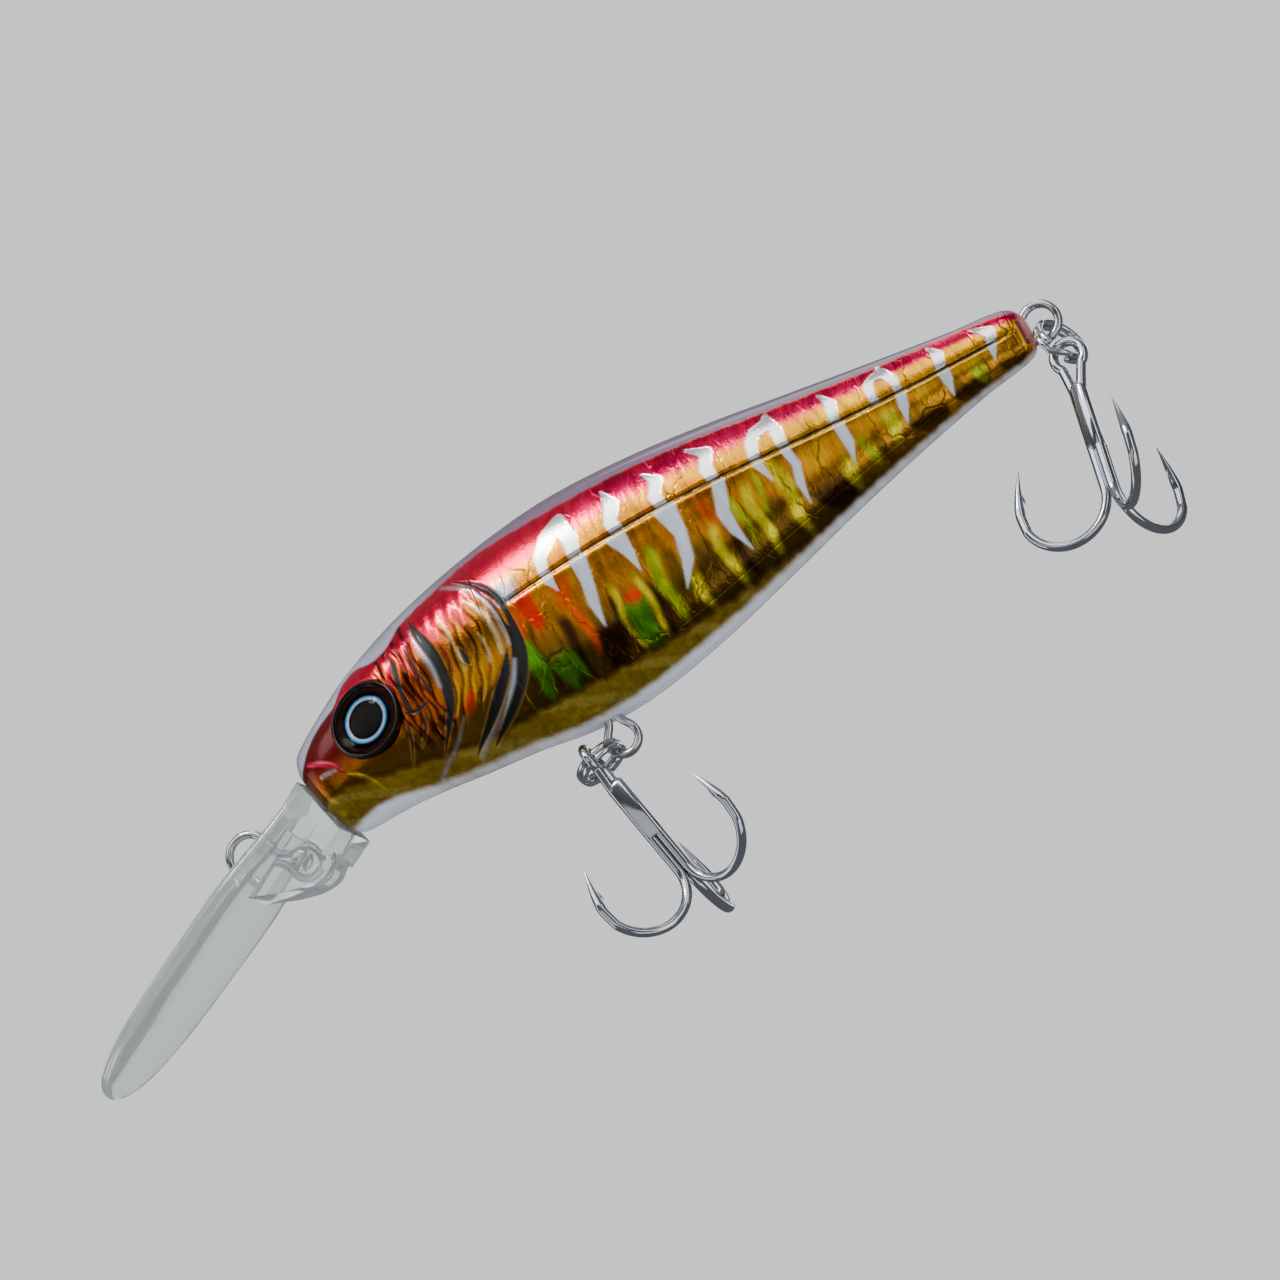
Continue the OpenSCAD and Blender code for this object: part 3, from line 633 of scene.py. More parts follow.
def painted(x, z):
    """The coats at points of a flank."""
    coat = Coat(len(x))
    side, rim, gold = curve(SIDE_LINE, x), curve(RIM_LINE, x), curve(GOLD_TOP, x)
    white = belly(x) + curve(BELLY_TOP, x)
    wobble = 0.16 * np.sin(2.3 * x + 0.9 * z) + 0.10 * np.sin(5.1 * x)

    # Flank foil below the side line, from amber down to olive.
    coat.lay(np.ones_like(x), AMBER, FOIL)
    coat.lay(smooth(50, 66, x), rgb(.84, .62, .12))
    coat.lay(smooth(-0.4, -5.2, z + 0.04 * (x - 40)) * (1 - smooth(66, 80, x) * .4), OLIVE)
    for centre, top, bottom, wide, colour in STREAKS:
        depth = np.clip((top - z) / (top - bottom), 0, 1)
        bow = 0.18 * np.sin(1.1 * z + centre)
        width = wide * (1.05 - 0.55 * depth ** 3) * smooth(-0.1, 0.25, depth + 0.15)
        across = 1 - smooth(-0.32, 0.3, np.abs(x - centre - bow) - width)
        reach = smooth(top + 0.9, top - 0.8, z) * smooth(bottom - 0.7, bottom + 0.8, z)
        vivid = colour in (GREEN, LIME, YELLOW, ORANGE, FLAME)
        coat.lay(0.9 * across * reach, colour, (0.97, 0.24, 1.0) if vivid else FOIL)
    # Flank above the side line: gold, peach, pink, crimson.
    above = smooth(side - 0.05, side + 0.05, z)
    height = (z - side) / np.maximum(rim - side, 0.4)
    tail = smooth(40, 74, x)
    coat.lay(above, rgb(.86, .64, .10))
    # Brown blotches just above the side line: partly the foil's own brown patches, partly painted
    # shade along the top of the side line.
    blotch = 0.5 + 0.5 * np.sin(2.1 * x + 1.3) * np.sin(3.3 * z + 0.7 * x)
    coat.lay(above * smooth(.42, .12, height) * (0.25 + 0.5 * blotch) * smooth(62, 40, x),
             rgb(.74, .38, .12))
    coat.lay(above * smooth(.25 + .22 * tail, .62 + .12 * tail, height), PINK)
    coat.lay(above * smooth(.80, .93, height + 0.08 * wobble), CRIMSON)
    coat.lay(above * smooth(36, 29.5, x + 0.9 * (4 - z) + wobble) * smooth(.28, .5, height),
             CRIMSON, (0.85, 0.22, 0.5))
    coat.lay(above * smooth(28.5, 26.5, x) * smooth(.42, .2, height), MILK)
    for bar in UPPER_BARS:
        coat.lay(stroke(bar, x, z) * above, rgb(1, 1, 1), (1.0, 0.2, 0.15))
    for bar in LOWER_BARS:
        coat.lay(stroke(bar, x, z, 0.13) * (1 - above), SILVER, (0.3, 0.34, 0.3))
    # A dark line in the side line's groove: painted shade where the groove is pressed in.
    line = np.abs(z - side - 0.12)
    coat.lay((1 - smooth(.08, .24, line)) * smooth(25.5, 27, x) * smooth(80, 76, x),
             rgb(.14, .08, .04))
    # A broken light line just below the groove, on the raised edge of the lower flank: a painted
    # highlight.
    ridge_highlight_gap = np.abs(z - side + 0.16)
    broken = 0.45 + 0.55 * smooth(-.3, .5, np.sin(1.7 * x) + np.sin(3.1 * x + 1))
    coat.lay((1 - smooth(.03, .14, ridge_highlight_gap)) * smooth(26, 28, x) * smooth(79, 74, x) * broken,
             rgb(.98, .86, .55), (1.0, 0.3, 0.3))

    # Head foil: crimson crown over amber and bronze.
    head = 1 - smooth(-0.1, 0.1, x - gill_edge(z))
    coat.lay(head, rgb(.60, .34, .05), HEAD_FOIL)
    # Lighter orange towards the gill plate and the top of the head, fading out downwards: a
    # painted highlight on the head foil.
    coat.lay(head * smooth(13, 17, x) * smooth(-6, 0, z), rgb(.74, .46, .07))
    coat.lay(head * smooth(17.8, 19.5, x) * smooth(1.5, -1.5, z) * .7, rgb(.76, .56, .09))
    coat.lay(head * smooth(-1.8, -5.5, z), rgb(.56, .42, .08))
    coat.lay(head * smooth(1.2, 4.4, z + 0.4 * wobble + 0.12 * np.maximum(15 - x, 0)), CRIMSON,
             (0.85, 0.2, 0.5))
    coat.lay(head * smooth(7.6, 6.4, x) * smooth(-3.5, -1.2, z), rgb(.33, .08, .10),
             (0.4, 0.2, 0.2))
    cheek = smooth(11.8, 12.6, x) * smooth(17.2, 16.4, x) * smooth(-6.8, -4.5, z)
    folds = 0.5 + 0.5 * np.sin(5.2 * x + 0.8 * np.sin(1.4 * z))
    coat.lay(head * cheek * smooth(.4, .9, folds) * .85, rgb(.24, .07, .03))

    # Each fold: a dark line in its crease and, beside it, a lighter line that is a painted
    # highlight on the fold's raised edge.
    fold_line_and_highlight = {"gill": (rgb(.34, .17, .03), rgb(.98, .76, .26)),
                  "cheek": (rgb(.13, .04, .02), rgb(.86, .42, .14))}
    for line, reach, kind in fold_lines(z):
        dark, light = fold_line_and_highlight[kind]
        coat.lay(head * reach * .7 * (1 - smooth(.04, .24, np.abs(x - line - .30))), light,
                 HEAD_FOIL)
        coat.lay(head * reach * .85 * (1 - smooth(.05, .22, np.abs(x - line))), dark, HEAD_FOIL)

    # Gold band and milky belly, then the clear plastic rim over the back and nose.
    band = smooth(gold + 0.35, gold - 0.35, z + 0.5 * wobble)
    coat.lay(band, rgb(.56, .47, .22), (0.8, 0.28, 0.8))
    coat.lay(band * smooth(.2, .9, np.sin(0.9 * x + 2.6 * z)) * .5, rgb(.72, .64, .38))
    coat.lay(smooth(.5, .1, np.abs(z - gold - 0.1 + 0.5 * wobble)) * .5, rgb(.30, .19, .06))
    for colour, _, line in HEAD_LINES:
        if colour is BLACK:
            coat.lay(stroke(rounded(line, 1.3), x, z), colour, INK)
        else:
            coat.lay(0.65 * stroke(rounded(line), x, z, 0.24), colour, (0.9, 0.24, 0.6))
    coat.lay(smooth(white + 0.25, white - 0.2, z + 0.1 * wobble), rgb(.74, .76, .79), LACQUER)
    coat.lay(smooth(rim - 0.16, rim + 0.2, z + 0.25 * wobble), MAUVE, SHELL)
    coat.lay(smooth(rim - 0.1, rim + 0.25, z) * smooth(24, 12, x), rgb(.58, .58, .63))
    crown = smooth(rim + 0.3, back(x) - 0.05, z)
    coat.lay(crown * .6, rgb(.30, .24, .30))
    coat.lay(smooth(79.0, 79.25, x) * smooth(1.6, 1.3, z) * smooth(-1.3, -1.0, z)
             * smooth(79.85, 79.6, x), rgb(.30, .14, .06), LACQUER)
    coat.lay(smooth(79.3, 79.8, x), rgb(.62, .45, .47), SHELL)
    return coat


def relief(x, z):
    """How far the moulding stands in (+) or out (-) from the plain form."""
    side = curve(SIDE_LINE, x)
    depth = 0.10 * (1 - smooth(.04, .26, np.abs(z - side - 0.12)))
    depth -= 0.07 * smooth(side - 0.05, side - 0.3, z) * smooth(side - 2.4, side - 0.5, z)
    depth *= smooth(25.6, 27.2, x) * smooth(79, 76, x)
    head = 1 - smooth(-0.15, 0.15, x - gill_edge(z) - 0.1)
    plate = head * smooth(18.1, 19.0, x + 0.05 * z) * smooth(-8.5, -5.5, z) * smooth(7.4, 6, z)
    depth -= 0.05 * plate
    cheek = (smooth(11.8, 12.8, x) * smooth(17.2, 16.2, x)
             * smooth(-6.8, -4, z) * smooth(5.4, 3.6, z))
    depth += 0.05 * cheek * np.sin(5.2 * x + 0.8 * np.sin(1.4 * z))
    depth += 0.03 * plate * np.sin(4.4 * x + 1.1 * np.sin(0.8 * z))
    for line, reach, kind in fold_lines(z):
        depth += 0.055 * head * reach * (1 - smooth(.05, .3, np.abs(x - line)))
    for _, press, line in HEAD_LINES:
        if press:
            depth += 0.6 * press * stroke(rounded(line), x, z, 0.16)
    return depth


# ---- the two body halves and their foils ----------------------------------------------
LONG_CELLS, ROUND_CELLS = 560, 168
COARSE = 8
INNER_NOSE, INNER_TAIL = 3, 2.6
END_ROUND = 0.9
FOIL_X = (23.9, 78.8)
FOIL_COLS = (1 / 6, 7 / 9)
FOIL_LIFT, FOIL_BED = 0.02, 0.10

u = np.linspace(0, 1, LONG_CELLS + 1)
stations = BODY_L * (0.35 * (1 - np.cos(np.pi * u)) / 2 + 0.65 * u)
angles = np.radians(90 - 180 * np.linspace(0, 1, ROUND_CELLS + 1))


def end_inset(x):
    """Rounds the section in towards the nose and the tail."""
    near = np.clip(END_ROUND - np.minimum(x, BODY_L - x), 0, END_ROUND)
    return END_ROUND - np.sqrt(END_ROUND ** 2 - near ** 2)


def grid_points():
    x, a = np.meshgrid(stations, angles, indexing="ij")
    points = skin(x, a, end_inset(x))
    d_long = np.gradient(points, axis=0)
    d_round = np.gradient(points, axis=1)
    out = np.cross(d_long, d_round)
    size = np.linalg.norm(out, axis=2, keepdims=True)
    out = out / np.maximum(size, 1e-9)
    if out[LONG_CELLS // 2, ROUND_CELLS // 2, 1] > 0:
        out = -out
    return points, out


points, outward = grid_points()
flank_x = np.repeat(stations[:, None], ROUND_CELLS + 1, 1).ravel()
flank_z = points[..., 2].ravel()
coat = painted(flank_x, flank_z)
seam = np.abs(points[..., 1])
press = relief(flank_x, flank_z).reshape(seam.shape) * smooth(0.05, 0.6, seam)
lift = np.minimum(-press, np.where(points[..., 2] > 9.5, -0.012, 0.09))
in_foil_rows = np.where((stations > FOIL_X[0]) & (stations < FOIL_X[1]))[0]
row_a, row_b = int(in_foil_rows[0]), int(in_foil_rows[-1])
col_a, col_b = (int(round(f * ROUND_CELLS)) for f in FOIL_COLS)
surface = points + outward * lift[..., None]


# The eye's seat on the left: origin on the skin, +Z out of the head.
EYE_X, EYE_Z, EYE_YAW, EYE_PITCH = 9.4, -0.1, -9, 78
EYE = (shift(EYE_X, -float(flank_y(EYE_X - 0.6, EYE_Z)), EYE_Z)
       @ spin("z", EYE_YAW) @ spin("x", EYE_PITCH))
SOCKET_R, SOCKET_DEEP = 3.55, 0.62


def sunk_for_eye(p):
    """Pushes the skin under the eye down to the socket's floor."""
    local = moved(p.reshape(-1, 3), np.linalg.inv(EYE))
    r = np.hypot(local[:, 0], local[:, 1])
    near = (local[:, 2] > -3) & (r < SOCKET_R + 0.5)
    floor = np.minimum(local[:, 2], -SOCKET_DEEP)
    t = smooth(SOCKET_R + 0.12, SOCKET_R - 0.06, r) * near
    local[:, 2] = local[:, 2] * (1 - t) + floor * t
    return moved(local, EYE).reshape(p.shape)


surface = sunk_for_eye(surface)
shell_surface = surface.copy()
bed = (slice(row_a + 1, row_b), slice(col_a + 1, col_b))
shell_surface[bed] -= outward[bed] * FOIL_BED


def grid_faces(rows, cols, start=0):
    k = start + np.arange(rows - 1)[:, None] * cols + np.arange(cols - 1)[None, :]
    return np.stack([k, k + 1, k + cols + 1, k + cols], -1).reshape(-1, 4).tolist()


def half_shell():
    """The outer skin, a coarser inner skin and the flat rim at the parting plane."""
    rows, cols = LONG_CELLS + 1, ROUND_CELLS + 1
    share = np.linspace(0, 1, LONG_CELLS // COARSE + 1)
    inner_x = INNER_NOSE + (BODY_L - INNER_NOSE - INNER_TAIL) * (1 - np.cos(np.pi * share)) / 2
    x, a = np.meshgrid(inner_x, angles[::COARSE], indexing="ij")
    inner = skin(x, a, WALL)
    inner[:, [0, -1], 1] = 0
    outer = shell_surface.copy()
    outer[:, [0, -1], 1] = 0
    in_rows, in_cols = inner.shape[:2]
    start = rows * cols
    faces = grid_faces(rows, cols) + grid_faces(in_rows, in_cols, start)
    for col, in_col in ((0, 0), (cols - 1, in_cols - 1)):
        for k in range(in_rows - 1):
            steps = [(k * COARSE + m) * cols + col for m in range(COARSE + 1)]
            faces.append(steps + [start + (k + 1) * in_cols + in_col,
                                  start + k * in_cols + in_col])
    for row, in_row in ((0, 0), (rows - 1, in_rows - 1)):
        faces.append([row * cols + j for j in range(cols)])
        faces.append([start + in_row * in_cols + j for j in range(in_cols)])
        faces.append([row * cols, row * cols + cols - 1,
                      start + in_row * in_cols + in_cols - 1, start + in_row * in_cols])
    return np.vstack([outer.reshape(-1, 3), inner.reshape(-1, 3)]), faces


def foil_patch():
    """The foil over the flank, with its edges turned down into the shell."""
    rows, cols = row_b - row_a + 1, col_b - col_a + 1
    part = (slice(row_a, row_b + 1), slice(col_a, col_b + 1))
    top = surface[part] + outward[part] * FOIL_LIFT
    low = surface[part] - outward[part] * (FOIL_BED * 0.6)
    for edge in (0, -1):
        top[edge], top[:, edge] = surface[part][edge], surface[part][:, edge]
    count = rows * cols
    faces = grid_faces(rows, cols) + grid_faces(rows, cols, count)
    ring = ([(0, j) for j in range(cols)] + [(i, cols - 1) for i in range(1, rows)]
            + [(rows - 1, j) for j in range(cols - 2, -1, -1)]
            + [(i, 0) for i in range(rows - 2, 0, -1)])
    ids = [i * cols + j for i, j in ring]
    faces += [[a, b, b + count, a + count] for a, b in zip(ids, ids[1:] + ids[:1])]
    return np.vstack([top.reshape(-1, 3), low.reshape(-1, 3)]), faces


def lay_paint(piece, colour, finish):
    """Writes the coats on a piece's points; points past the grid take the shell's own."""
    extra = len(piece.data.vertices) - len(colour)
    colour = np.vstack([colour, np.tile(MAUVE, (extra, 1))])
    finish = np.vstack([finish, np.tile(SHELL, (extra, 1))])
    for name, values in (("paint", colour), ("surface", finish)):
        layer = piece.data.color_attributes.new(name=name, type="FLOAT_COLOR", domain="POINT")
        layer.data.foreach_set("color", np.column_stack([values, np.ones(len(values))]).ravel())


shell_verts, shell_faces = half_shell()
foil_verts, foil_faces = foil_patch()
patch = np.arange(len(flank_x)).reshape(seam.shape)[row_a:row_b + 1, col_a:col_b + 1].ravel()
for side_name, flip in (("left", np.eye(4)), ("right", MIRROR)):
    shell = new_piece(f"{side_name}_body", moved(shell_verts, flip), shell_faces, "lure_body",
                      paint, (f"{side_name}_body_shell",))
    lay_paint(shell, coat.colour, coat.finish)
    foil = new_piece(f"{side_name}_flank_foil", moved(foil_verts, flip), foil_faces, "lure_body",
                     paint, (f"{side_name}_foil",))
    lay_paint(foil, np.tile(coat.colour[patch], (2, 1)), np.tile(coat.finish[patch], (2, 1)))


# ---- eyes -----------------------------------------------------------------------------
def iris_material():
    """Black pupil and socket with a bright ring between, read from the radius."""
    s = Shader("printed_iris")
    radius = s.attribute("radius", "Fac")
    grain = s.noise(2600, 3)
    near_ring = s.remap(s.math("ABSOLUTE", s.math("SUBTRACT", radius, 2.06)), 0.13, 0.26, 1, 0)
    hue = s.mix(s.remap(radius, 1.95, 2.2, 0, 1), rgb(.54, .57, .62), rgb(.14, .36, .50))
    colour = s.mix(near_ring, rgb(.02, .018, .02), hue)
    colour = s.mix(s.remap(s.math("ABSOLUTE", s.math("SUBTRACT", radius, 2.85)), 0.1, 0.25, .2, 0),
                   colour, rgb(.30, .16, .10))
    return s.set(Base_Color=colour, Metallic=s.math("MULTIPLY", near_ring, 0.9),
                 Roughness=s.remap(grain, 0.3, 0.7, 0.24, 0.36), Specular_IOR_Level=0.0,
                 Normal=s.bump(grain, 0.00001, 0.3))


iris_mat = iris_material()
EYE_SIDES = 128
# Turned outlines of each eye's pieces: radius and height above the eye's seat.
IRIS = [(0, -.36), (.9, -.36), (1.75, -.355), (1.85, -.345), (2.4, -.34), (2.5, -.36),
        (3.3, -.37), (3.5, -.40), (3.52, -.5), (3.5, -.72), (0, -.72)]
RIM = [(0, -.5), (3.34, -.42), (3.36, -.18), (3.40, .0), (3.46, .08), (3.54, .10),
       (3.62, .06), (3.68, -.04), (3.70, -.2), (3.70, -.6), (0, -.62)]
DOME_R, DOME_H = 3.32, 0.9
DOME = ([(0, -.34), (3.2, -.34), (3.3, -.31), (DOME_R, -.24), (DOME_R, 0)]
        + [(DOME_R * math.cos(math.radians(a)) ** 0.9, DOME_H * math.sin(math.radians(a)))
           for a in range(6, 90, 6)] + [(0, DOME_H)])


def ring_only(profile, sides):
    """A closed bead: the profile's own loop turned about Z."""
    loop = profile[1:-1]
    angles_round = 2 * np.pi * np.arange(sides) / sides
    verts = [(r * math.cos(a), r * math.sin(a), h) for a in angles_round for r, h in loop]
    n = len(loop)
    faces = [(m * n + k, m * n + (k + 1) % n, (m + 1) % sides * n + (k + 1) % n,
              (m + 1) % sides * n + k) for m in range(sides) for k in range(n)]
    return np.array(verts), faces


for side_name, flip in (("left", np.eye(4)), ("right", MIRROR)):
    place = flip @ EYE
    verts, faces = lathe(IRIS, EYE_SIDES)
    iris = new_piece(f"{side_name}_iris", moved(verts, place), faces, "lure_body",
                     iris_mat, (f"{side_name}_eye_disc",))
    layer = iris.data.attributes.new("radius", "FLOAT", "POINT")
    layer.data.foreach_set("value", np.hypot(verts[:, 0], verts[:, 1]).astype(np.float32))
    verts, faces = ring_only(RIM, EYE_SIDES)
    new_piece(f"{side_name}_eye_socket_rim", moved(verts, place), faces, "lure_body",
              socket_black)
    verts, faces = lathe(DOME, EYE_SIDES)
    new_piece(f"{side_name}_clear_dome", moved(verts, place), faces, "lure_body",
              dome_clear, (f"{side_name}_eye_dome",))


# ---- wire hangers and the line tie ----------------------------------------------------
WIRE_D, LEG_GAP, SHOULDER, ANCHOR_R = 0.8, 0.05, 55, 1.5


def loop_arc(r, start, end, steps=40):
    a = np.radians(np.linspace(start, end, steps + 1))
    return np.column_stack([r * np.cos(a), 0 * a, r * np.sin(a)])


def hanger(eye_r, reach):
    """An eye at the origin, two close legs along +X and an open anchor ring."""
    waist = WIRE_D / 2 + LEG_GAP
    c, s = math.cos(math.radians(SHOULDER)), math.sin(math.radians(SHOULDER))
    lead = eye_r * c + (eye_r * s - waist) * s / c
    tail = ANCHOR_R * c + (ANCHOR_R * s - waist) * s / c
    anchor = np.array([reach, 0, 0])
    path = np.vstack([
        loop_arc(ANCHOR_R, 12, 180 - SHOULDER, 20) + anchor,
        [[reach - tail, 0, waist], [lead, 0, waist]],
        loop_arc(eye_r, SHOULDER, 360 - SHOULDER),
        [[lead, 0, -waist], [reach - tail, 0, -waist]],
        loop_arc(ANCHOR_R, 180 + SHOULDER, 348, 20) + anchor])
    path, _ = eased(path, np.zeros(len(path)), 2)
    radii = np.full(len(path), WIRE_D / 2)
    radii[[0, -1]] *= 0.8
    return sweep(path, radii, 24)


BELLY_EYE = np.array([29, 0, -12.85])
TAIL_EYE = np.array([BODY_L + 1, 0, 0.5])
for name, eye_r, reach, place, cad in (
        ("line_tie", 1.95, 6.3, shift(*TIE) @ spin("y", 38), "line_tie_wire"),
        ("belly_hanger", 1.5, 5.6, shift(*BELLY_EYE) @ spin("y", -90), "belly_hook_hanger"),
        ("tail_hanger", 1.75, 6.2, shift(*TAIL_EYE) @ spin("y", 180), "tail_hook_hanger")):
    verts, faces = hanger(eye_r, reach)
    new_piece(name, moved(verts, place), faces, "lure_body", wire_metal, (cad,))


# ---- split rings ----------------------------------------------------------------------
RING_WIRE_D, RING_R = 0.58, 2.36


def split_ring():
    """Two turns of one wire with a short step between them."""
    sweep_deg, ramp = 672, 40
    a = np.linspace(-sweep_deg / 2, sweep_deg / 2, 241)
    rise = (RING_WIRE_D + 0.03) * (smooth(-ramp / 2, ramp / 2, a) - 0.5)
    t = np.radians(a + 180)
    path = np.column_stack([RING_R * np.cos(t), RING_R * np.sin(t), rise])
    radii = np.full(len(path), RING_WIRE_D / 2)
    radii[[0, -1]] *= 0.8
    return sweep(path, radii, 20, 2.5, (1, 0.2, 0))


RING_OUT, RING_DROP = 0.62 + RING_R, 17
drop = math.radians(RING_DROP)
belly_ring_at = BELLY_EYE + RING_OUT * np.array([-math.cos(drop), 0, -math.sin(drop)])
TWIST, SWAY, TAIL_RING_OUT = 24, 17, 2.7
at_tail_ring = (shift(*TAIL_EYE) @ spin("y", -SWAY) @ spin("z", -TWIST)
                @ shift(0, 0, -TAIL_RING_OUT))
ring_verts, ring_faces = split_ring()
new_piece("belly_ring_coil",
          moved(ring_verts, shift(*BELLY_EYE) @ spin("y", -RING_DROP) @ shift(-RING_OUT, 0, 0)),
          ring_faces, "belly_ring", ring_metal, ("belly_split_ring",))
new_piece("tail_ring_coil", moved(ring_verts, at_tail_ring @ spin("y", 90) @ spin("z", 120)),
          ring_faces, "tail_ring", ring_metal, ("tail_split_ring",))


# ---- treble hooks ---------------------------------------------------------------------
HOOK_D, BEND_R, TREBLE_EYE_R, TREBLE_L = 0.95, 4.07, 1.43, 19.8
POINT_RISE, BARB_AT, BARB_L, SPREAD, NECK_Z = 4.8, 0.40, 0.14, 120, -3.6
HOOK_R = HOOK_D / 2
SHANK_OFF = 1.16 * HOOK_R
BEND_END, POINT_LEAN, POINT_CURVE = 342, 1.1, 1.5
BEND_Z = TREBLE_EYE_R + HOOK_R - TREBLE_L + HOOK_R + BEND_R


def point_x(t):
    """How far out the point stands at the share t of its rise."""
    return SHANK_OFF + 2 * BEND_R - POINT_LEAN * t ** POINT_CURVE


def arm(top_z, start_r):
    """One arm below the eye in the XZ plane, with the half sizes along it."""
    a = np.radians(np.linspace(180, BEND_END, 36))
    bend = np.column_stack([SHANK_OFF + BEND_R + BEND_R * np.cos(a), 0 * a,
                            BEND_Z + BEND_R * np.sin(a)])
    t = np.linspace(0.08, 1, 22)
    point = np.column_stack([point_x(t), 0 * t, BEND_Z + POINT_RISE * t])
    shank = np.array([[SHANK_OFF, 0, top_z + (BEND_Z - top_z) * f] for f in (0, .03, .3, .7, .95)])
    path = np.vstack([shank, bend, point])
    wide = np.full(len(path), HOOK_R)
    wide[0] = start_r
    taper = 1 - 0.93 * np.clip((t - 0.22) / 0.78, 0, 1) ** 1.15
    wide[-len(t):] = HOOK_R * taper
    deep = wide.copy()
    deep[5:5 + len(bend)] *= 1 - 0.10 * np.sin(np.linspace(0, math.pi, len(bend)))
    return path, np.column_stack([wide, deep])


def barb():
    """The small raised spur on the inside of a point, aimed back down the hook."""
    root = BARB_AT + BARB_L
    base = np.array([point_x(root), 0, BEND_Z + POINT_RISE * root])
    tip = np.array([point_x(BARB_AT) - 0.52, 0, BEND_Z + POINT_RISE * BARB_AT - 0.55])
    f = np.linspace(0, 1, 8)[:, None]
    path = base + (tip - base) * f - np.array([0.10, 0, 0]) * np.sin(np.pi * f)
    size = np.column_stack([0.26 * (1 - f) ** 0.8 + 0.012, 0.17 * (1 - f) + 0.012])
    return sweep(path, size, 12, seed=(1, 0, 0))


def turned(shape, degrees):
    return moved(shape[0], spin("z", degrees)), shape[1]


def double_hook():
    first, size = arm(NECK_Z, HOOK_R)
    a = np.radians(np.linspace(230, -50, 40))
    eye = np.column_stack([TREBLE_EYE_R * np.cos(a), -0.2 * HOOK_D * np.linspace(0, 1, 40),
                           TREBLE_EYE_R * np.sin(a)])
    path = np.vstack([moved(first, spin("z", 180))[::-1], eye,
                      moved(first, spin("z", 180 + SPREAD))])
    eye_size = np.column_stack([np.full(40, HOOK_R * 0.96)] * 2)
    path, size = eased(path, np.vstack([size[::-1], eye_size, size]), 2)
    return joined(sweep(path, size, 22, seed=(0, 1, 0)), turned(barb(), 180),
                  turned(barb(), 180 + SPREAD))


def third_hook():
    path, size = eased(*arm(NECK_Z + 0.4, HOOK_R * 0.5), 2)
    return joined(turned(sweep(path, size, 22, seed=(0, 1, 0)), 180 - SPREAD),
                  turned(barb(), 180 - SPREAD))


BRAZE_TOP, BRAZE_END = -3.1, -9.6


def braze():
    """The solder web that joins the three shanks, square at both ends."""
    web = []
    for arm_at in (180, 300, 60):
        for off in (-58, -30, 0, 30, 58):
            reach = HOOK_R * 1.04
            a, b = math.radians(arm_at), math.radians(arm_at + off)
            web.append((SHANK_OFF * math.cos(a) + reach * math.cos(b),
                        SHANK_OFF * math.sin(a) + reach * math.sin(b)))
    web = np.array(web)
    return stacked([np.column_stack([web * scale, np.full(len(web), z)]) for z, scale in (
        (BRAZE_TOP + .35, .55), (BRAZE_TOP, .93), (BRAZE_TOP - .3, 1), (-6.4, 1.0),
        (BRAZE_END + .12, 1), (BRAZE_END, .95), (BRAZE_END - .06, .7))])


EYE_SAG, TAIL_SAG, TAIL_LINK, TAIL_LEAN = 0.3, -0.05, 30, (-8, 9)
link = math.radians(TAIL_LINK)
trebles = {
    "belly": (shift(*(belly_ring_at - [0, RING_R, 0])) @ spin("y", -12)
              @ shift(0, 0, -EYE_SAG) @ spin("z", -90)),
    "tail": (at_tail_ring @ shift(0, -RING_R * math.sin(link), -RING_R * math.cos(link))
             @ spin("z", TWIST) @ spin("y", SWAY)
             @ spin("y", TAIL_LEAN[1]) @ spin("x", TAIL_LEAN[0]) @ shift(0, 0, -TAIL_SAG))}
for which, place in trebles.items():
    for part, shape, cad in (("pair", double_hook(), "double_hook"),
                             ("single", third_hook(), "third_hook"), ("braze", braze(), None)):
        piece = new_piece(f"{which}_treble_{part}", moved(shape[0], place), shape[1],
                          f"{which}_treble", hook_metal,
                          (f"{which}_{cad}",) if cad else ())
        if part == "braze":
            soft_edges(piece, 0.1, 40, 2)


# ---- the clear lip --------------------------------------------------------------------
LIP_L, LIP_W, LIP_T, LIP_ANGLE = 34.5, 12.6, 1.8, 25
BLADE_TOP = (-14, -9.3)
NECK_W, KEEL_W = 7.8, 4.6
slope = math.tan(math.radians(LIP_ANGLE))


def face_x(z):
    return FACE_LEAN * (float(back(0)) - z)


def blade_z(x):
    return BLADE_TOP[1] + (x - BLADE_TOP[0]) * slope


def blade_half(t):
    full = LIP_W / 2 * (0.62 + 0.38 * smooth(0, 1, t / 0.42) - 0.1 * smooth(0, 1, (t - 0.5) / 0.4))
    return full * np.maximum(0, 1 - np.maximum(0, (t - 0.7) / 0.3) ** 2.4) ** 0.5


def blade():
    """A thin plate with a rounded edge that thins a little towards its tip."""
    t = np.sin(np.radians(np.linspace(0, 90, 49)))
    half_outline = np.column_stack([-LIP_L * t, blade_half(t)])
    outline = np.vstack([half_outline, half_outline[-2::-1] * [1, -1]])
    centre = np.array([-LIP_L * 0.5, 0])
    rings = []
    for a in np.radians(np.linspace(-90, 90, 11)):
        inset = 0.55 * (1 - math.cos(a))
        away = outline - centre
        dist = np.hypot(away[:, 0], away[:, 1])[:, None]
        flat = centre + away * (1 - inset / dist)
        half_t = LIP_T / 2 * (1 - 0.32 * smooth(0.1, 1.0, -outline[:, 0] / LIP_L))
        rings.append(np.column_stack([flat, half_t * math.sin(a)]))
    verts, faces = stacked(rings)
    return moved(verts, shift(1, 0, blade_z(1)) @ spin("y", -LIP_ANGLE)), faces


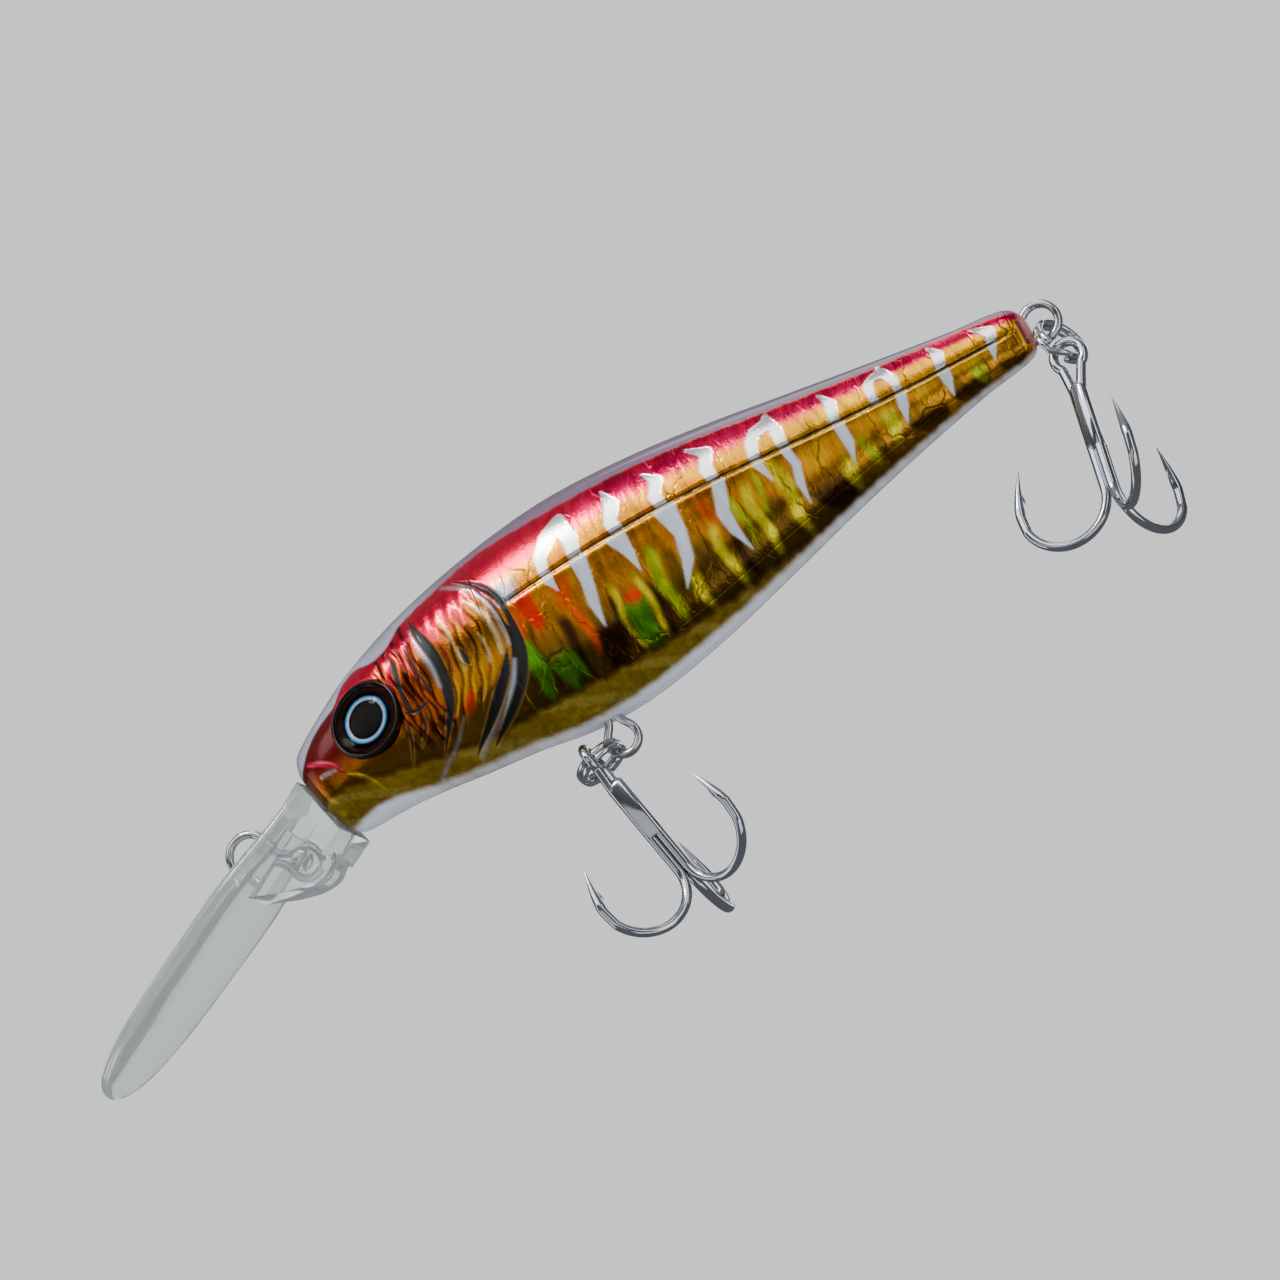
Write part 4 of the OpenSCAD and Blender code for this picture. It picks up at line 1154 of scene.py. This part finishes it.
def side_block(outline, width):
    """An outline in the side view, width thick across the lip."""
    n = len(outline)
    verts = [(x, sign * width / 2, z) for sign in (-1, 1) for x, z in outline]
    ends = [tuple(range(n)), tuple(range(n, 2 * n))]
    return np.array(verts, float), ends + wall_faces(2, n)


def side_curve(rough, rounds=3):
    """Rounds a closed outline's corners."""
    pts = np.array(rough, float)
    for _ in range(rounds):
        nxt = np.roll(pts, -1, axis=0)
        pts = np.stack([0.8 * pts + 0.2 * nxt, 0.2 * pts + 0.8 * nxt], 1).reshape(-1, 2)
    return [tuple(p) for p in pts]


NECK_TOP, NECK_LOW = -1.25, -7.3
neck = side_block([(face_x(NECK_TOP), NECK_TOP), (face_x(NECK_LOW), NECK_LOW), (-.5, -8.6),
                   (-3, blade_z(-3) + .6), (-1.6, blade_z(-1.6) + 1)], NECK_W)
keel_line = [(-.4, -8.95), (-1.4, -9.8), (-2.6, -9.95), (-3.8, -9.85), (-6, -9.2), (-7.4, -8.6),
             (-8.6, -8.05), (-10.2, blade_z(-10.2) - .1), (-4, blade_z(-4) - .1),
             (0, blade_z(0) - .1), (face_x(NECK_LOW) - .3, NECK_LOW + .2)]
keel = side_block(side_curve(keel_line, 2), KEEL_W)
TONGUE = (4.6, 3.6, 2.6)
tongue_x, tongue_z = face_x(-4.4), -4.4
tongue = side_block([(tongue_x - 1, tongue_z - TONGUE[2] / 2),
                     (tongue_x + TONGUE[0], tongue_z - TONGUE[2] / 2),
                     (tongue_x + TONGUE[0], tongue_z + TONGUE[2] / 2),
                     (tongue_x - 1, tongue_z + TONGUE[2] / 2)], TONGUE[1])
PIN_AT, PIN_R, PIN_FLOOR = (-2.84, -7.48), 0.95, 1.1
pin_verts, pin_faces = lathe([(0, PIN_FLOOR), (PIN_R, PIN_FLOOR), (PIN_R * 1.04, 6), (0, 6)], 48)
pin_marks = [moved(pin_verts, shift(PIN_AT[0], 0, PIN_AT[1]) @ spin("x", turn))
             for turn in (90, -90)]
trim = side_block([(face_x(8), 8), (20, 8), (20, -14), (face_x(-14), -14)], 20)


def combine(base, *steps):
    """base with other solids added or cut away, as one mesh."""
    for how, tool in steps:
        change = base.modifiers.new(how, "BOOLEAN")
        change.operation = how
        change.solver = "EXACT"
        change.object = tool
    bpy.context.view_layer.update()
    result = bpy.data.meshes.new_from_object(base.evaluated_get(
        bpy.context.evaluated_depsgraph_get()))
    for piece in [base] + [tool for _, tool in steps]:
        bpy.data.objects.remove(piece)
    return result


lip_mesh = combine(solid(blade(), "blade"), ("DIFFERENCE", solid(trim, "trim")),
                   ("UNION", solid(neck, "neck")), ("UNION", solid(keel, "keel")),
                   ("UNION", solid(tongue, "tongue")),
                   *(("DIFFERENCE", solid((mark, pin_faces), "pin_mark")) for mark in pin_marks))
bm = bmesh.new()
bm.from_mesh(lip_mesh)
bmesh.ops.remove_doubles(bm, verts=bm.verts[:], dist=0.00001)
bmesh.ops.dissolve_limit(bm, angle_limit=math.radians(1), verts=bm.verts[:], edges=bm.edges[:])
bm.to_mesh(lip_mesh)
bm.free()
lip_mesh.materials.clear()
lip_mesh.materials.append(lip_clear)
lip_mesh.shade_smooth()
lip = linked("clear_diving_lip", lip_mesh)
soft_edges(lip, 0.22, 32, 3)
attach(lip, "lure_body")
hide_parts("diving_lip")


# ---- parts sealed inside keep their CAD shape -----------------------------------------
for name, mat in (("belly_weight", ballast_metal), ("magnet", magnet_metal),
                  ("front_transfer_ball", ball_metal), ("middle_transfer_ball", ball_metal),
                  ("rear_transfer_ball", ball_metal)):
    for place in nodes[name].material_slots:
        place.material = mat


# ---- floor, light and background ------------------------------------------------------
FLOOR_Z, FLOOR_SIZE = -0.28, 6.0
floor_mesh = bpy.data.meshes.new("floor")
corner = FLOOR_SIZE / 2
floor_mesh.from_pydata([(-corner, -corner, FLOOR_Z), (corner, -corner, FLOOR_Z),
                        (corner, corner, FLOOR_Z), (-corner, corner, FLOOR_Z)], [], [(0, 1, 2, 3)])
floor = linked("floor", floor_mesh)
floor_shader = Shader("pale_floor")
floor_mesh.materials.append(floor_shader.set(
    Base_Color=floor_shader.mix(floor_shader.noise(9, 2), rgb(.88, .88, .89), rgb(.90, .90, .91)),
    Roughness=0.7))
floor.visible_glossy = False


def soft_light(name, at, aim_at, size, watts):
    data = bpy.data.lights.new(name, "AREA")
    data.shape = "RECTANGLE"
    data.size, data.size_y = size
    data.energy = watts
    light = linked(name, data)
    light.location = at
    light.rotation_mode = "QUATERNION"
    light.rotation_quaternion = (Vector(aim_at) - Vector(at)).to_track_quat("-Z", "Y")
    return light


middle = Vector(((40 - TIE[0]) * MM, 0, -TIE[2] * MM))
# Each lamp's place from the lure's middle, its width and height, and its watts.
for name, away, size, watts in (
        ("overhead", (-0.12, -0.42, 0.40), (0.80, 0.25), 1.5),
        ("window", (-0.12, -0.32, 0.385), (0.10, 0.08), 0.7),
        ("top", (0.1, 0.05, 0.6), (0.5, 0.2), 0.6),
        ("front", (-0.20, -0.70, 0.06), (0.9, 0.30), 0.45),
        ("back", (0.3, 0.7, 0.35), (0.6, 0.5), 1.3),
        ("strip_right", (0.50, -0.42, 0.05), (0.20, 0.6), 0.6),
        ("strip_left", (-0.60, -0.16, 0.0), (0.20, 0.5), 0.5),
        ("low", (0.25, -0.35, -0.24), (0.5, 0.2), 0.35)):
    soft_light(name, middle + Vector(away), middle, size, watts)

# Reflections see a dark band above a dim floor; all other rays see an even pale sky.
world = bpy.data.worlds.new("studio")
bpy.context.scene.world = world
world.use_nodes = True
tree = world.node_tree
background = tree.nodes["Background"]
rays = tree.nodes.new("ShaderNodeLightPath")
coords = tree.nodes.new("ShaderNodeTexCoord")
split = tree.nodes.new("ShaderNodeSeparateXYZ")
tree.links.new(coords.outputs["Generated"], split.inputs[0])
ramp = tree.nodes.new("ShaderNodeValToRGB")
tree.links.new(split.outputs["Z"], ramp.inputs[0])
ramp.color_ramp.elements[0].position = 0.0
ramp.color_ramp.elements[0].color = (0.14, 0.142, 0.148, 1)
ramp.color_ramp.elements[1].position = 1.0
ramp.color_ramp.elements[1].color = (0.42, 0.43, 0.44, 1)
stop = ramp.color_ramp.elements.new(0.35)
stop.color = (0.07, 0.07, 0.072, 1)
lit_rays = tree.nodes.new("ShaderNodeMath")
lit_rays.operation = "MINIMUM"
lit_rays.inputs[1].default_value = 1.0
tree.links.new(rays.outputs["Glossy Depth"], lit_rays.inputs[0])
choose = tree.nodes.new("ShaderNodeMix")
choose.data_type = "RGBA"
tree.links.new(lit_rays.outputs[0], choose.inputs[0])
choose.inputs[6].default_value = (0.95, 0.96, 0.98, 1)
tree.links.new(ramp.outputs[0], choose.inputs[7])
tree.links.new(choose.outputs[2], background.inputs["Color"])
